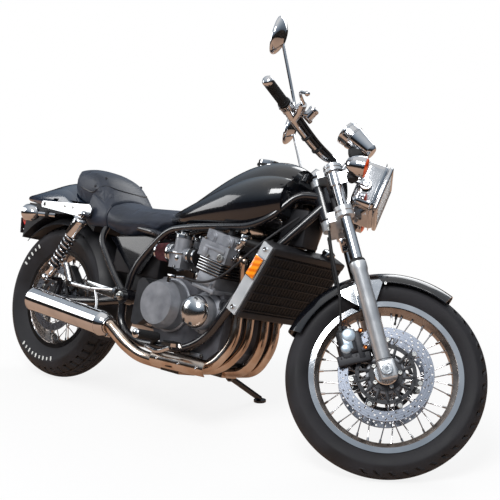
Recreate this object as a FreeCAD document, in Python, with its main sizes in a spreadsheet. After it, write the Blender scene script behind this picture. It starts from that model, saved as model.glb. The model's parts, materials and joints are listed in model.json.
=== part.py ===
"""Cruiser motorcycle with a water-cooled four-cylinder engine, wire wheels and shaft drive.

It is modelled upright with its steering straight ahead: X forward, Y to the rider's left, Z up,
millimetres, with the origin on the ground under the rear axle. Each finished sub-part is then
given its place as the motorcycle is parked: leaning on its side stand, with the fork turned to
its left stop, and with the origin at the bottom centre of the whole machine's box.
"""
import FreeCAD, Part
import math
import os
import Sketcher
from FreeCAD import Placement, Rotation, Vector

# ---------------------------------------------------------------------------------------------
# Driving dimensions: one cell each in the sheet "dims"
# ---------------------------------------------------------------------------------------------
DIMENSIONS = {
    "stance": {
        "lean_angle": 15.0, "steer_angle": 35.0, "wheelbase": 1580.0, "rake_angle": 29.5,
        "fork_offset": 51.5, "running_gap": 5.5, "bore_gap": 0.1,
    },
    "front wheel": {
        "front_tyre_radius": 318.5, "front_tyre_half": 50.0, "front_crown_drop": 35.5,
        "front_bead_radius": 229.0, "front_lip_radius": 243.0, "front_lip_half": 37.0,
        "front_sidewall_bend": 34.0, "front_flange_radius": 46.0, "front_flange_half": 34.0,
        "front_barrel_radius": 27.0, "front_hub_half": 60.0, "front_spokes": 36,
        "front_disc_radius": 150.0, "disc_thickness": 5.0,
        "front_disc_half": 57.5,
    },
    "rear wheel": {
        "rear_tyre_radius": 322.0, "rear_tyre_half": 84.0, "rear_crown_drop": 60.0,
        "rear_bead_radius": 190.5, "rear_lip_radius": 204.5, "rear_lip_half": 54.0,
        "rear_sidewall_bend": 46.0, "rear_flange_radius": 66.0, "rear_flange_half": 44.0,
        "rear_barrel_radius": 38.0, "rear_hub_half": 74.0, "rear_spokes": 40,
        "rear_disc_radius": 135.0, "rear_disc_half": 71.5,
    },
    "wheels": {
        "rim_wall": 3.0, "rim_well_depth": 15.0, "rim_well_half": 15.0, "rim_seat_width": 10.0,
        "spoke_radius": 2.0, "flange_thickness": 7.0, "axle_radius": 10.0,
    },
    "fork": {
        "leg_spacing": 100.0, "fork_tube_radius": 19.5, "slider_radius": 25.0, "slider_top": 364.0,
        "slider_foot": 30.0, "slider_socket": 60.0, "lower_clamp_low": 526.0, "head_point": 647.5,
        "lower_clamp_height": 34.0, "upper_clamp_low": 690.0, "upper_clamp_height": 24.0,
        "clamp_boss_radius": 31.0, "clamp_web_width": 50.0, "stem_radius": 13.0,
        "head_tube_radius": 27.0, "spacer_radius": 15.0,
    },
    "controls": {
        "bar_radius": 12.0, "grip_radius": 17.0, "grip_length": 118.0, "riser_radius": 14.0,
        "riser_spacing": 48.0, "mirror_stem_radius": 5.0, "lever_radius": 5.0,
        "speedometer_radius": 43.0, "speedometer_nose_radius": 21.0, "speedometer_rim": 32.0,
        "speedometer_length": 120.0, "hose_radius": 4.5,
    },
    "lamps": {
        "headlamp_height": 172.0, "headlamp_width": 200.0, "headlamp_depth": 92.0,
        "signal_radius": 35.0, "signal_length": 66.0, "signal_stalk_radius": 9.0,
        "front_signal_spacing": 240.0, "rear_signal_spacing": 150.0,
    },
    "front fender": {
        "front_fender_radius": 346.0, "front_fender_half": 62.0, "front_fender_edge": 300.0,
        "front_fender_lead": 24.0, "front_fender_trail": 80.0, "fender_sheet": 3.0,
        "fender_brace_radius": 5.0,
    },
    "frame": {
        "frame_tube_radius": 16.0, "rail_tube_radius": 13.0, "cross_tube_radius": 10.0,
        "frame_half": 158.0, "pivot_lug_radius": 30.0,
        "rail_half": 150.0, "seat_rail_half": 108.0, "pivot_ahead": 517.0, "pivot_height": 396.0,
        "pivot_bolt_radius": 12.0, "pivot_cap_radius": 21.0, "backbone_radius": 24.0,
    },
    "rear end": {
        "arm_radius": 20.0, "arm_spacing": 112.0, "shaft_radius": 30.0, "shaft_spacing": 122.0,
        "shaft_front_spacing": 104.0,
        "drive_case_radius": 76.0, "drive_case_half": 30.0, "shock_spacing": 178.0,
        "shock_cover_radius": 28.0, "shock_spring_radius": 27.0, "shock_body_radius": 22.0,
        "shock_eye_radius": 16.0, "strut_thickness": 8.0, "strut_hole_radius": 3.4,
        "rear_fender_radius": 354.0, "rear_fender_half": 100.0, "rear_fender_edge": 306.0,
        "rear_fender_trail": 46.0, "rear_fender_lead": 110.0,
    },
    "engine": {
        "crank_ahead": 911.0, "crank_height": 400.0, "crankcase_half": 134.0,
        "cylinder_half": 190.0, "cylinder_tilt": 10.0, "clutch_radius": 90.0, "clutch_rim": 76.0,
        "clutch_depth": 86.0, "clutch_behind": 171.0, "ignition_radius": 58.0,
        "ignition_depth": 100.0, "alternator_radius": 60.0, "alternator_depth": 92.0,
        "carburetor_pitch": 96.0, "carburetor_radius": 30.0, "filter_front_radius": 39.0,
        "filter_rear_radius": 31.0, "filter_length": 78.0, "cylinder_pitch": 88.0,
    },
    "exhaust": {
        "header_radius": 19.0, "collector_radius": 24.0, "muffler_radius": 46.5,
        "muffler_wall": 3.0, "muffler_spacing": 230.0, "muffler_length": 457.0,
        "shield_radius": 29.0,
    },
    "radiator": {
        "radiator_width": 396.0, "radiator_height": 268.0, "radiator_thickness": 52.0,
        "radiator_cover_width": 9.0, "radiator_gap": 14.0, "radiator_rise": 39.0,
        "hose_outer_radius": 17.0,
    },
    "bodywork": {
        "tank_rear_ahead": 604.0, "tank_head_gap": 57.0,
        "fuel_cap_radius": 36.0, "seat_gap": 1.0, "seat_split": 302.0, "panel_thickness": 10.0,
        "plate_flap_wall": 5.0, "plate_flap_tilt": 12.0,
        "plate_hole_radius": 3.5, "plate_hole_half": 60.0,
    },
    "side stand": {
        "stand_radius": 11.0, "stand_foot_ahead": 860.0, "stand_foot_out": 318.0,
        "stand_pivot_ahead": 815.0, "stand_pivot_out": 176.0, "stand_pivot_height": 182.0,
        "stand_foot_radius": 24.0, "stand_foot_thickness": 8.0, "stand_bolt_radius": 6.0,
    },
    "rider's feet": {
        "peg_radius": 16.0, "peg_length": 104.0, "peg_ahead": 748.0, "peg_height": 282.0,
        "pillion_peg_radius": 13.0,
    },
}

doc = FreeCAD.newDocument("cruiser_motorcycle")
dims = doc.addObject("Spreadsheet::Sheet", "dims")


def fill_sheet():
    """Write each driving dimension as plain text into a cell that has its name as alias."""
    row = 1
    for group, cells in DIMENSIONS.items():
        dims.set(f"A{row}", group)
        row += 1
        for alias, number in cells.items():
            dims.set(f"A{row}", alias)
            dims.set(f"B{row}", str(number))
            dims.setAlias(f"B{row}", alias)
            row += 1
    doc.recompute()


fill_sheet()
X_AXIS, Y_AXIS, Z_AXIS = Vector(1, 0, 0), Vector(0, 1, 0), Vector(0, 0, 1)
RIGHT, LEFT = -1, 1
SIDES = (("right", RIGHT), ("left", LEFT))


# ---------------------------------------------------------------------------------------------
# Ways of making one piece
# ---------------------------------------------------------------------------------------------
def number(expression):
    """The value that an expression of sheet cells has now."""
    return float(dims.evalExpression(expression))


def bind(item, **expressions):
    """Bind each named size of an object to an expression of sheet cells."""
    for size, expression in expressions.items():
        item.setExpression(size, expression)


def along_axis(start, direction, twist=0.0):
    """A place at start whose Z axis points along direction."""
    return Placement(start, Rotation(Z_AXIS, direction).multiply(Rotation(Z_AXIS, twist)))


def rod(name, radius, start, end):
    """A round bar between two points."""
    bar = doc.addObject("Part::Cylinder", name)
    bind(bar, Radius=radius)
    bar.Height = (end - start).Length
    bar.Placement = along_axis(start, end - start)
    return bar


def cone(name, start_radius, end_radius, start, end):
    """A tapered round bar between two points."""
    taper = doc.addObject("Part::Cone", name)
    bind(taper, Radius1=start_radius, Radius2=end_radius)
    taper.Height = (end - start).Length
    taper.Placement = along_axis(start, end - start)
    return taper


def ball(name, radius, centre):
    sphere = doc.addObject("Part::Sphere", name)
    bind(sphere, Radius=radius)
    sphere.Placement = Placement(centre, Rotation())
    return sphere


def block(name, length, width, height, centre, turn=Rotation()):
    """A box about its centre; its three sizes are expressions."""
    box = doc.addObject("Part::Box", name)
    bind(box, Length=length, Width=width, Height=height)
    half = Vector(number(length) / 2, number(width) / 2, number(height) / 2)
    box.Placement = Placement(centre - turn.multVec(half), turn)
    return box


def bent_path(points, bend=0.45):
    """Edges of straight runs joined by tangent arcs through a list of corner points."""
    edges = []
    start = points[0]
    for before, corner, after in zip(points, points[1:], points[2:]):
        arriving = (corner - before).normalize()
        leaving = (after - corner).normalize()
        turn = arriving.getAngle(leaving)
        if turn < math.radians(0.5):
            continue
        cut_back = bend * min((corner - before).Length, (after - corner).Length)
        arc_start = corner - arriving * cut_back
        arc_end = corner + leaving * cut_back
        inward = (leaving - arriving).normalize()
        radius = cut_back / math.tan(turn / 2)
        middle = corner + inward * (radius / math.cos(turn / 2) - radius)
        edges.append(Part.LineSegment(start, arc_start).toShape())
        edges.append(Part.Arc(arc_start, middle, arc_end).toShape())
        start = arc_end
    edges.append(Part.LineSegment(start, points[-1]).toShape())
    return edges


def tube(name, radius, points, bend=0.45):
    """A round bar swept along straight runs and tangent arcs."""
    path = doc.addObject("Part::Feature", f"{name}_path")
    path.Shape = Part.Wire(bent_path(points, bend))
    section = doc.addObject("Part::Circle", f"{name}_section")
    bind(section, Radius=radius)
    section.Placement = along_axis(points[0], points[1] - points[0])
    sweep = doc.addObject("Part::Sweep", name)
    sweep.Sections = [section]
    sweep.Spine = (path, [f"Edge{i + 1}" for i in range(len(path.Shape.Edges))])
    sweep.Solid = True
    sweep.Frenet = False
    return sweep


def origin_plane(body, role):
    return [feature for feature in body.Origin.OriginFeatures if feature.Role == role][0]


def outline_sketch(body, rows):
    """A closed outline on the body's XZ plane. Row columns: across, up, and the radius of the
    arc that leaves this corner (0: straight; above 0: the arc bulges to the right of its run)."""
    sketch = body.newObject("Sketcher::SketchObject", f"{body.Name}_outline")
    sketch.AttachmentSupport = [(origin_plane(body, "XZ_Plane"), "")]
    sketch.MapMode = "FlatFace"
    corners = [Vector(number(across), number(up), 0) for across, up, _ in rows]
    ends = []
    for index, (_, _, arc_radius) in enumerate(rows):
        here, after = corners[index], corners[(index + 1) % len(rows)]
        radius = number(arc_radius) if arc_radius else 0.0
        if not radius:
            sketch.addGeometry(Part.LineSegment(here, after))
            ends.append((1, 2))
            continue
        chord = after - here
        outward = Vector(chord.y, -chord.x, 0).normalize() * math.copysign(1.0, radius)
        rise = abs(radius) - math.sqrt(radius ** 2 - (chord.Length / 2) ** 2)
        middle = (here + after) * 0.5 + outward * rise
        if radius > 0:
            sketch.addGeometry(Part.Arc(here, middle, after))
            ends.append((1, 2))
        else:
            sketch.addGeometry(Part.Arc(after, middle, here))
            ends.append((2, 1))
    for index, (across, up, arc_radius) in enumerate(rows):
        following = (index + 1) % len(rows)
        sketch.addConstraint(Sketcher.Constraint(
            "Coincident", index, ends[index][1], following, ends[following][0]))
        for kind, expression, place in (("DistanceX", across, corners[index].x),
                                        ("DistanceY", up, corners[index].y)):
            fixed = sketch.addConstraint(Sketcher.Constraint(
                kind, -1, 1, index, ends[index][0], place))
            sketch.setExpression(f"Constraints[{fixed}]", expression)
        if arc_radius:
            size = abs(number(arc_radius))
            fixed = sketch.addConstraint(Sketcher.Constraint("Radius", index, size))
            sketch.setExpression(f"Constraints[{fixed}]", f"abs({arc_radius})")
    return sketch


def turned(name, rows, centre, axis, angle=None, twist=0.0):
    """A body of revolution. Row columns as in outline_sketch: radius, place along axis, arc."""
    body = doc.addObject("PartDesign::Body", name)
    sketch = outline_sketch(body, rows)
    lathe = body.newObject("PartDesign::Revolution", f"{name}_revolution")
    lathe.Profile = sketch
    lathe.ReferenceAxis = (sketch, ["V_Axis"])
    if angle:
        bind(lathe, Angle=angle)
    body.Placement = along_axis(centre, axis, twist)
    return body


def plate(name, rows, thickness, place):
    """A flat plate, padded both ways from its outline on the body's XZ plane."""
    body = doc.addObject("PartDesign::Body", name)
    sketch = outline_sketch(body, rows)
    pad = body.newObject("PartDesign::Pad", f"{name}_pad")
    pad.Profile = sketch
    bind(pad, Length=thickness)
    pad.Midplane = True
    body.Placement = place
    return body


def lofted(name, wires):
    """A solid through a few closed wires of lines and arcs."""
    sections = []
    for index, wire in enumerate(wires):
        section = doc.addObject("Part::Feature", f"{name}_section_{index}")
        section.Shape = wire
        sections.append(section)
    loft = doc.addObject("Part::Loft", name)
    loft.Sections = sections
    loft.Solid = True
    return loft


def fused(name, pieces, refine=True):
    """All the pieces as one solid; refining merges the faces that lie on one surface."""
    if len(pieces) == 1:
        return pieces[0]
    joined = doc.addObject("Part::MultiFuse", name)
    joined.Shapes = pieces
    joined.Refine = refine
    return joined


def cut(name, base, tools):
    """The base with one or more tools taken away."""
    cutting = doc.addObject("Part::Cut", name)
    cutting.Base = base
    cutting.Tool = fused(f"{name}_tools", tools)
    return cutting


def common(name, first, second):
    shared = doc.addObject("Part::MultiCommon", name)
    shared.Shapes = [first, second]
    return shared


nodes = []


def node(name, body, pieces):
    """A finished sub-part: its own label and file, and the body that carries it."""
    whole = doc.addObject("Part::Compound", f"{name}_part")
    whole.Label = name
    whole.Links = pieces
    nodes.append((whole, body))
    return pieces[0] if len(pieces) == 1 else whole


# ---------------------------------------------------------------------------------------------
# Places worked out from the driving dimensions
# ---------------------------------------------------------------------------------------------
rake = math.radians(dims.rake_angle)
STEER_UP = Vector(-math.sin(rake), 0, math.cos(rake))
STEER_AHEAD = Vector(math.cos(rake), 0, math.sin(rake))
REAR_AXLE = Vector(0, 0, dims.rear_tyre_radius)
FRONT_AXLE = Vector(dims.wheelbase, 0, dims.front_tyre_radius)
STEER_POINT = FRONT_AXLE - STEER_AHEAD * dims.fork_offset
CRANK = Vector(dims.crank_ahead, 0, dims.crank_height)
PIVOT = Vector(dims.pivot_ahead, 0, dims.pivot_height)


def fork(up, side, ahead=0.0):
    """A point on the straight fork: distance up the leg from the axle, to the left, ahead."""
    return FRONT_AXLE + STEER_UP * up + Y_AXIS * side + STEER_AHEAD * ahead


def from_crank(ahead, side, up):
    return CRANK + Vector(ahead, side, up)


def from_pivot(ahead, side, up):
    return PIVOT + Vector(ahead, side, up)


HEAD_LOW = dims.lower_clamp_low + dims.lower_clamp_height + dims.running_gap
HEAD_HIGH = dims.upper_clamp_low - dims.running_gap
STEM = -dims.fork_offset
HEAD = fork(dims.head_point, 0, STEM)


def from_head(ahead, side, up):
    return HEAD + Vector(ahead, side, up)


# ---------------------------------------------------------------------------------------------
# Wheels
# ---------------------------------------------------------------------------------------------
def tyre(end, centre):
    """A tyre with a round crown, filled down to the rim's bead seats."""
    inner = f"dims.{end}_lip_half - dims.rim_wall"
    shoulder = f"dims.{end}_tyre_radius - dims.{end}_crown_drop"
    half, drop = f"dims.{end}_tyre_half", f"dims.{end}_crown_drop"
    crown = f"({half} ^ 2 + {drop} ^ 2) / (2 * {drop})"
    bead, lip = f"dims.{end}_bead_radius", f"dims.{end}_lip_radius"
    bend = f"dims.{end}_sidewall_bend"
    rows = [(bead, f"-({inner})", ""), (lip, f"-({inner})", bend), (shoulder, f"-{half}", crown),
            (shoulder, half, bend), (lip, inner, ""), (bead, inner, "")]
    return turned(f"{end}_tyre_solid", rows, centre, Y_AXIS)


def rim(end, centre):
    """A rolled rim: two lips, two bead seats and a well."""
    lip, bead, half = f"dims.{end}_lip_radius", f"dims.{end}_bead_radius", f"dims.{end}_lip_half"
    wall, well = "dims.rim_wall", "dims.rim_well_half"
    seat_end = f"({half} - {wall} - dims.rim_seat_width)"
    floor = f"({bead} - dims.rim_well_depth)"
    upper = [(lip, f"{half} - {wall}"), (bead, f"{half} - {wall}"), (bead, seat_end),
             (floor, well)]
    lower = [(f"{floor} - {wall}", f"{well} + {wall}"),
             (f"{bead} - {wall}", f"{seat_end} + {wall}"), (f"{bead} - {wall}", half), (lip, half)]
    one_side = [(r, y, "") for r, y in upper]
    other_side = [(r, f"-({y})", "") for r, y in reversed(upper)]
    under_other = [(r, f"-({y})", "") for r, y in reversed(lower)]
    under_one = [(r, y, "") for r, y in lower]
    return turned(f"{end}_rim_band", one_side + other_side + under_other + under_one,
                  centre, Y_AXIS)


def hub(end, centre):
    """A spool hub with two spoke flanges, bored for the axle."""
    bore = "dims.axle_radius + dims.bore_gap"
    barrel, flange = f"dims.{end}_barrel_radius", f"dims.{end}_flange_radius"
    outer = f"dims.{end}_flange_half"
    inner = f"({outer} - dims.flange_thickness)"
    far = f"dims.{end}_hub_half"
    half = [(bore, far, ""), (barrel, far, ""), (barrel, outer, ""), (flange, outer, ""),
            (flange, inner, ""), (barrel, inner, "")]
    rows = half + [(r, f"-({y})", a) for r, y, a in reversed(half)]
    return turned(f"{end}_hub_solid", rows, centre, Y_AXIS)


def spokes(end, centre):
    """Spokes from both hub flanges to the rim well, leaning forward and back by turns."""
    count = int(number(f"dims.{end}_spokes"))
    inner_radius = number(f"dims.{end}_flange_radius") - dims.flange_thickness
    outer_radius = number(f"dims.{end}_bead_radius") - dims.rim_well_depth - 1.5
    flange_half = number(f"dims.{end}_flange_half") - dims.flange_thickness / 2
    made = []
    for index in range(count):
        side = LEFT if index % 2 else RIGHT
        lean = 58 if index % 4 < 2 else -58
        at_rim = math.radians(360 * index / count)
        at_hub = at_rim + math.radians(lean)
        start = centre + Vector(inner_radius * math.cos(at_hub), side * flange_half,
                                inner_radius * math.sin(at_hub))
        end_point = centre + Vector(outer_radius * math.cos(at_rim), side * 5,
                                    outer_radius * math.sin(at_rim))
        made.append(rod(f"{end}_spoke_{index}", "dims.spoke_radius", start, end_point))
    return made


def disc(name, centre, side_place, radius, inner):
    """A flat brake disc about the axle."""
    low = f"({side_place}) - dims.disc_thickness / 2"
    high = f"({side_place}) + dims.disc_thickness / 2"
    rows = [(inner, low, ""), (radius, low, ""), (radius, high, ""), (inner, high, "")]
    return turned(name, rows, centre, Y_AXIS)


def build_wheels():
    for end, centre in (("front", FRONT_AXLE), ("rear", REAR_AXLE)):
        body = f"{end}_wheel"
        node(f"{end}_tyre", body, [tyre(end, centre)])
        hub_solid = hub(end, centre)
        laced = fused(f"{end}_laced", [rim(end, centre)] + spokes(end, centre))
        node(f"{end}_rim", body, [cut(f"{end}_rim_solid", laced, [hub_solid])])
        node(f"{end}_hub", body, [hub_solid])
    discs = [disc(f"front_disc_{side}", FRONT_AXLE, f"{sign} * dims.front_disc_half",
                  "dims.front_disc_radius", "dims.front_barrel_radius") for side, sign in SIDES]
    node("front_discs", "front_wheel", discs)
    node("rear_disc", "rear_wheel", [disc(
        "rear_disc_solid", REAR_AXLE, "-dims.rear_disc_half", "dims.rear_disc_radius",
        "dims.rear_barrel_radius")])


# ---------------------------------------------------------------------------------------------
# Fork, bars and what turns with them
# ---------------------------------------------------------------------------------------------
def build_fork():
    spacing = dims.leg_spacing
    lower_top = dims.lower_clamp_low + dims.lower_clamp_height
    upper_top = dims.upper_clamp_low + dims.upper_clamp_height
    socket = dims.slider_top - dims.slider_socket

    tubes, sliders = [], []
    for side, sign in SIDES:
        y = sign * spacing
        stanchion = rod(f"fork_tube_{side}", "dims.fork_tube_radius", fork(socket, y),
                        fork(upper_top + 6, y))
        tubes.append(stanchion)
        leg = rod(f"slider_leg_{side}", "dims.slider_radius", fork(-dims.slider_foot, y),
                  fork(dims.slider_top, y))
        collar = rod(f"slider_collar_{side}", "dims.slider_radius + 2.5",
                     fork(dims.slider_top - 22, y), fork(dims.slider_top, y))
        shoe = block(f"slider_shoe_{side}", "2 * dims.slider_radius + 4",
                     "2 * dims.slider_radius", "2 * dims.slider_foot",
                     fork(0, y, 4), Rotation(Y_AXIS, -dims.rake_angle))
        lug = block(f"caliper_lug_{side}", "46", "12", "96", fork(118, sign * (spacing - 17), -34),
                    Rotation(Y_AXIS, -dims.rake_angle))
        whole = fused(f"slider_{side}", [leg, collar, shoe, lug])
        axle_bore = rod(f"slider_bore_{side}", "dims.axle_radius", Vector(0, y - 60, 0) + FRONT_AXLE,
                        Vector(0, y + 60, 0) + FRONT_AXLE)
        tube_bore = rod(f"slider_socket_{side}", "dims.fork_tube_radius", fork(socket, y),
                        fork(dims.slider_top + 5, y))
        sliders.append(cut(f"slider_solid_{side}", whole, [axle_bore, tube_bore]))
    node("fork_tubes", "fork", tubes)
    node("fork_sliders", "fork", sliders)

    axle = rod("front_axle_bar", "dims.axle_radius", FRONT_AXLE - Y_AXIS * (spacing + 30),
               FRONT_AXLE + Y_AXIS * (spacing + 30))
    spacers = []
    for side, sign in SIDES:
        inside = FRONT_AXLE + Y_AXIS * sign * (dims.front_hub_half + 1)
        outside = FRONT_AXLE + Y_AXIS * sign * (spacing - dims.slider_radius)
        spacers.append(rod(f"axle_spacer_{side}", "dims.spacer_radius", inside, outside))
        nut_start = FRONT_AXLE + Y_AXIS * sign * (spacing + dims.slider_radius)
        spacers.append(rod(f"axle_nut_{side}", "dims.spacer_radius + 1", nut_start,
                           nut_start + Y_AXIS * sign * 10))
    node("front_axle", "fork", [fused("front_axle_solid", [axle] + spacers)])

    lower_mid = dims.lower_clamp_low + dims.lower_clamp_height / 2
    upper_mid = dims.upper_clamp_low + dims.upper_clamp_height / 2
    tilt = Rotation(Y_AXIS, -dims.rake_angle)
    clamps = [
        block("lower_web", "dims.clamp_web_width", "2 * dims.leg_spacing - 30",
              "dims.lower_clamp_height", fork(lower_mid, 0, STEM + 22), tilt),
        block("upper_web", "dims.clamp_web_width", "2 * dims.leg_spacing - 30",
              "dims.upper_clamp_height", fork(upper_mid, 0, STEM + 22), tilt),
        rod("lower_web_boss", "dims.clamp_web_width / 2", fork(dims.lower_clamp_low, 0, STEM),
            fork(lower_top, 0, STEM)),
        rod("upper_web_boss", "dims.clamp_web_width / 2", fork(dims.upper_clamp_low, 0, STEM),
            fork(upper_top, 0, STEM)),
        rod("steering_stem", "dims.stem_radius", fork(dims.lower_clamp_low, 0, STEM),
            fork(upper_top, 0, STEM)),
    ]
    bores = []
    for side, sign in SIDES:
        y = sign * spacing
        clamps.append(rod(f"lower_boss_{side}", "dims.clamp_boss_radius",
                          fork(dims.lower_clamp_low, y), fork(lower_top, y)))
        clamps.append(rod(f"upper_boss_{side}", "dims.clamp_boss_radius",
                          fork(dims.upper_clamp_low, y), fork(upper_top, y)))
        bores.append(rod(f"clamp_bore_{side}", "dims.fork_tube_radius",
                         fork(dims.lower_clamp_low - 5, y), fork(upper_top + 5, y)))
    clamp_solid = cut("triple_clamp_solid", fused("clamps_joined", clamps), bores)
    node("triple_clamps", "fork", [clamp_solid])
    return sliders, clamp_solid


BAR_MIDDLE = (752, 0, 18)


def bar_points(sign):
    """The handlebar's route on one side. Columns: up the fork, out, ahead of the legs."""
    table = [BAR_MIDDLE, (752, 60, 18), (748, 100, -15), (779, 150, -49), (820, 215, -82),
             (848, 262, -104), (879, 290, -112), (908, 400, -152)]
    return [fork(up, sign * out, ahead) for up, out, ahead in table]


def build_bars():
    right, left = bar_points(RIGHT), bar_points(LEFT)
    whole_route = list(reversed(right)) + left[1:]
    bar = tube("handlebar_bar", "dims.bar_radius", whole_route)
    upper_top = dims.upper_clamp_low + dims.upper_clamp_height
    middle_up, _, middle_ahead = BAR_MIDDLE
    tilt = Rotation(Y_AXIS, -dims.rake_angle)
    risers = []
    for side, sign in SIDES:
        y = sign * dims.riser_spacing
        risers.append(rod(f"riser_{side}", "dims.riser_radius", fork(upper_top, y, -4),
                          fork(middle_up, y, middle_ahead)))
        risers.append(block(f"riser_clamp_{side}", "36", "26", "36",
                            fork(middle_up, y, middle_ahead), tilt))
    solid = cut("handlebar_solid", fused("handlebar_joined", [bar] + risers),
                [block("riser_floor", "200", "200", "20", fork(upper_top - 10, 0, 0), tilt)])
    node("handlebar", "fork", [solid])

    grips, controls, mirrors = [], [], []
    for side, sign in SIDES:
        points = bar_points(sign)
        inner, outer = points[-2], points[-1]
        run = (outer - inner).normalize()
        grip_start = outer + run * (4 - dims.grip_length)
        grip = rod(f"grip_{side}_rubber", "dims.grip_radius", grip_start, outer + run * 4)
        grips.append(cut(f"grip_{side}", grip, [solid]))
        housing = rod(f"switch_{side}", "dims.grip_radius + 5", grip_start - run * 36,
                      grip_start - run * 1)
        master = tube(f"master_{side}", "13", [fork(838, sign * 250, -92), fork(852, sign * 276,
                      -66), fork(858, sign * 300, -56)])
        reservoir = tube(f"reservoir_{side}", "17", [fork(840, sign * 236, -50),
                                                    fork(858, sign * 244, -22)])
        tip = FRONT_AXLE + Vector(-453, sign * 384, 714.5)
        lever = tube(f"lever_{side}_bar", "dims.lever_radius", [
            fork(858, sign * 296, -54), fork(884, sign * 340, -62), tip])
        lever_ball = ball(f"lever_{side}_ball", "8.5", tip)
        joined = fused(f"control_{side}_joined", [housing, master, reservoir, lever, lever_ball])
        controls.append(cut(f"control_{side}", joined, [solid]))
        bend = FRONT_AXLE + Vector(-510, sign * 268, 740)
        high = FRONT_AXLE + Vector(-592, sign * 324, 900)
        stem = tube(f"mirror_{side}_stem", "dims.mirror_stem_radius",
                    [fork(846, sign * 262, -86), bend, high])
        head_centre = FRONT_AXLE + Vector(-612, sign * 330, 925)
        head = lofted(f"mirror_{side}_head", mirror_sections(head_centre))
        mirrors.append(cut(f"mirror_{side}", fused(f"mirror_{side}_joined", [stem, head]),
                           [controls[-1], solid]))
    node("grips", "fork", grips)
    node("hand_controls", "fork", controls)
    node("mirrors", "fork", mirrors)
    return solid


def mirror_sections(centre):
    """Four ellipses from the mirror's rim to the back of its bowl. Columns: x, half width,
    half height."""
    table = [(-14, 50, 62), (-8, 54, 66), (8, 44, 54), (22, 20, 26)]
    wires = []
    for ahead, half_wide, half_high in table:
        middle = centre + Vector(ahead, 0, 0)
        oval = Part.Ellipse(middle + Z_AXIS * half_high, middle + Y_AXIS * half_wide, middle)
        wires.append(Part.Wire([oval.toShape()]))
    return wires


def build_fork_trim(handlebar):
    upper_top = dims.upper_clamp_low + dims.upper_clamp_height
    facing = Rotation(Y_AXIS, 6)
    lamp_centre = FRONT_AXLE + Vector(-212, 0, 595)
    shell = block("headlamp_shell", "dims.headlamp_depth", "dims.headlamp_width",
                  "dims.headlamp_height", lamp_centre, facing)
    rounded = doc.addObject("Part::Fillet", "headlamp_rounded")
    rounded.Base = shell
    doc.recompute()
    rounded.Edges = [(i + 1, 26.0, 26.0) for i in range(12)]
    ears = []
    for side, sign in SIDES:
        ears.append(block(f"lamp_ear_{side}", "74", "7", "40",
                          fork(658, sign * 118, 46), Rotation(Y_AXIS, -dims.rake_angle)))
        ears.append(rod(f"ear_ring_{side}", "dims.fork_tube_radius + 5", fork(638, sign * 100),
                        fork(684, sign * 100)))
    rings = [rod(f"ear_bore_{side}", "dims.fork_tube_radius", fork(600, sign * 100),
                 fork(720, sign * 100)) for side, sign in SIDES]
    joined = fused("headlamp_joined", [rounded] + ears)
    lamp = cut("headlamp_solid", joined, rings)
    node("headlamp", "fork", [lamp])

    dial_centre = FRONT_AXLE + Vector(-352, 0, 803.5)
    dial_axis = Vector(0.884, 0, -0.467)
    length, rim_length = "dims.speedometer_length", "dims.speedometer_rim"
    pod_rows = [("0", "0", ""), ("dims.speedometer_radius - 4", "0", ""),
                ("dims.speedometer_radius", "4", ""), ("dims.speedometer_radius", rim_length, ""),
                ("dims.speedometer_nose_radius + 7", f"{length} - 12", "40"),
                ("dims.speedometer_nose_radius", length, ""), ("0", length, "")]
    pod = turned("speedometer_pod", pod_rows, dial_centre, dial_axis)
    foot = tube("speedometer_foot", "8", [fork(upper_top - 2, 0, 12),
                                          dial_centre + dial_axis * 70])
    foot_room = block("speedometer_floor", "300", "60", "40", fork(upper_top - 20, 0, 0),
                      Rotation(Y_AXIS, -dims.rake_angle))
    node("speedometer", "fork", [cut("speedometer_solid", fused("speedometer_joined",
                                     [pod, foot]), [foot_room, handlebar])])

    signals = []
    for side, sign in SIDES:
        middle = FRONT_AXLE + Vector(-262, sign * dims.front_signal_spacing, 582)
        start = middle - X_AXIS * dims.signal_length / 2
        shell = turned(f"front_signal_{side}_shell", signal_rows(), start, X_AXIS)
        stalk = rod(f"front_signal_{side}_stalk", "dims.signal_stalk_radius",
                    fork(662, sign * 121.5, 60), middle)
        whole = fused(f"front_signal_{side}_joined", [shell, stalk])
        signals.append(cut(f"front_signal_{side}", whole, [lamp]))
    node("front_turn_signals", "fork", signals)

    node("horn", "fork", [fused("horn_solid", [
        rod("horn_disc", "34", fork(478, 0, -30), fork(478, 0, 2)),
        rod("horn_stay", "6", fork(478, 0, -16), fork(dims.lower_clamp_low, 0, -16))])])


def signal_rows():
    """A bullet-shaped lamp: a round back and a flat lens face."""
    radius, length = "dims.signal_radius", "dims.signal_length"
    return [("0", "0", "44"), (f"{radius} * 0.87", f"{length} * 0.42", "90"),
            (radius, f"{length} * 0.8", ""), (radius, length, ""), ("0", length, "")]


def fender_rows(prefix, edge):
    """A thin arched section: across the tyre it is one arc, its edges turned down."""
    outer, half = f"dims.{prefix}_fender_radius", f"dims.{prefix}_fender_half"
    rise = f"({outer} - {edge})"
    arc_outer = f"({half} ^ 2 + {rise} ^ 2) / (2 * {rise})"
    sheet = "dims.fender_sheet"
    inner_half, inner_rise = f"({half} - {sheet})", f"({rise} - {sheet})"
    arc_inner = f"({inner_half} ^ 2 + {inner_rise} ^ 2) / (2 * {inner_rise})"
    return [(edge, f"-{half}", arc_outer), (edge, half, ""),
            (edge, inner_half, f"-({arc_inner})"), (edge, f"-{inner_half}", "")]


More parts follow.
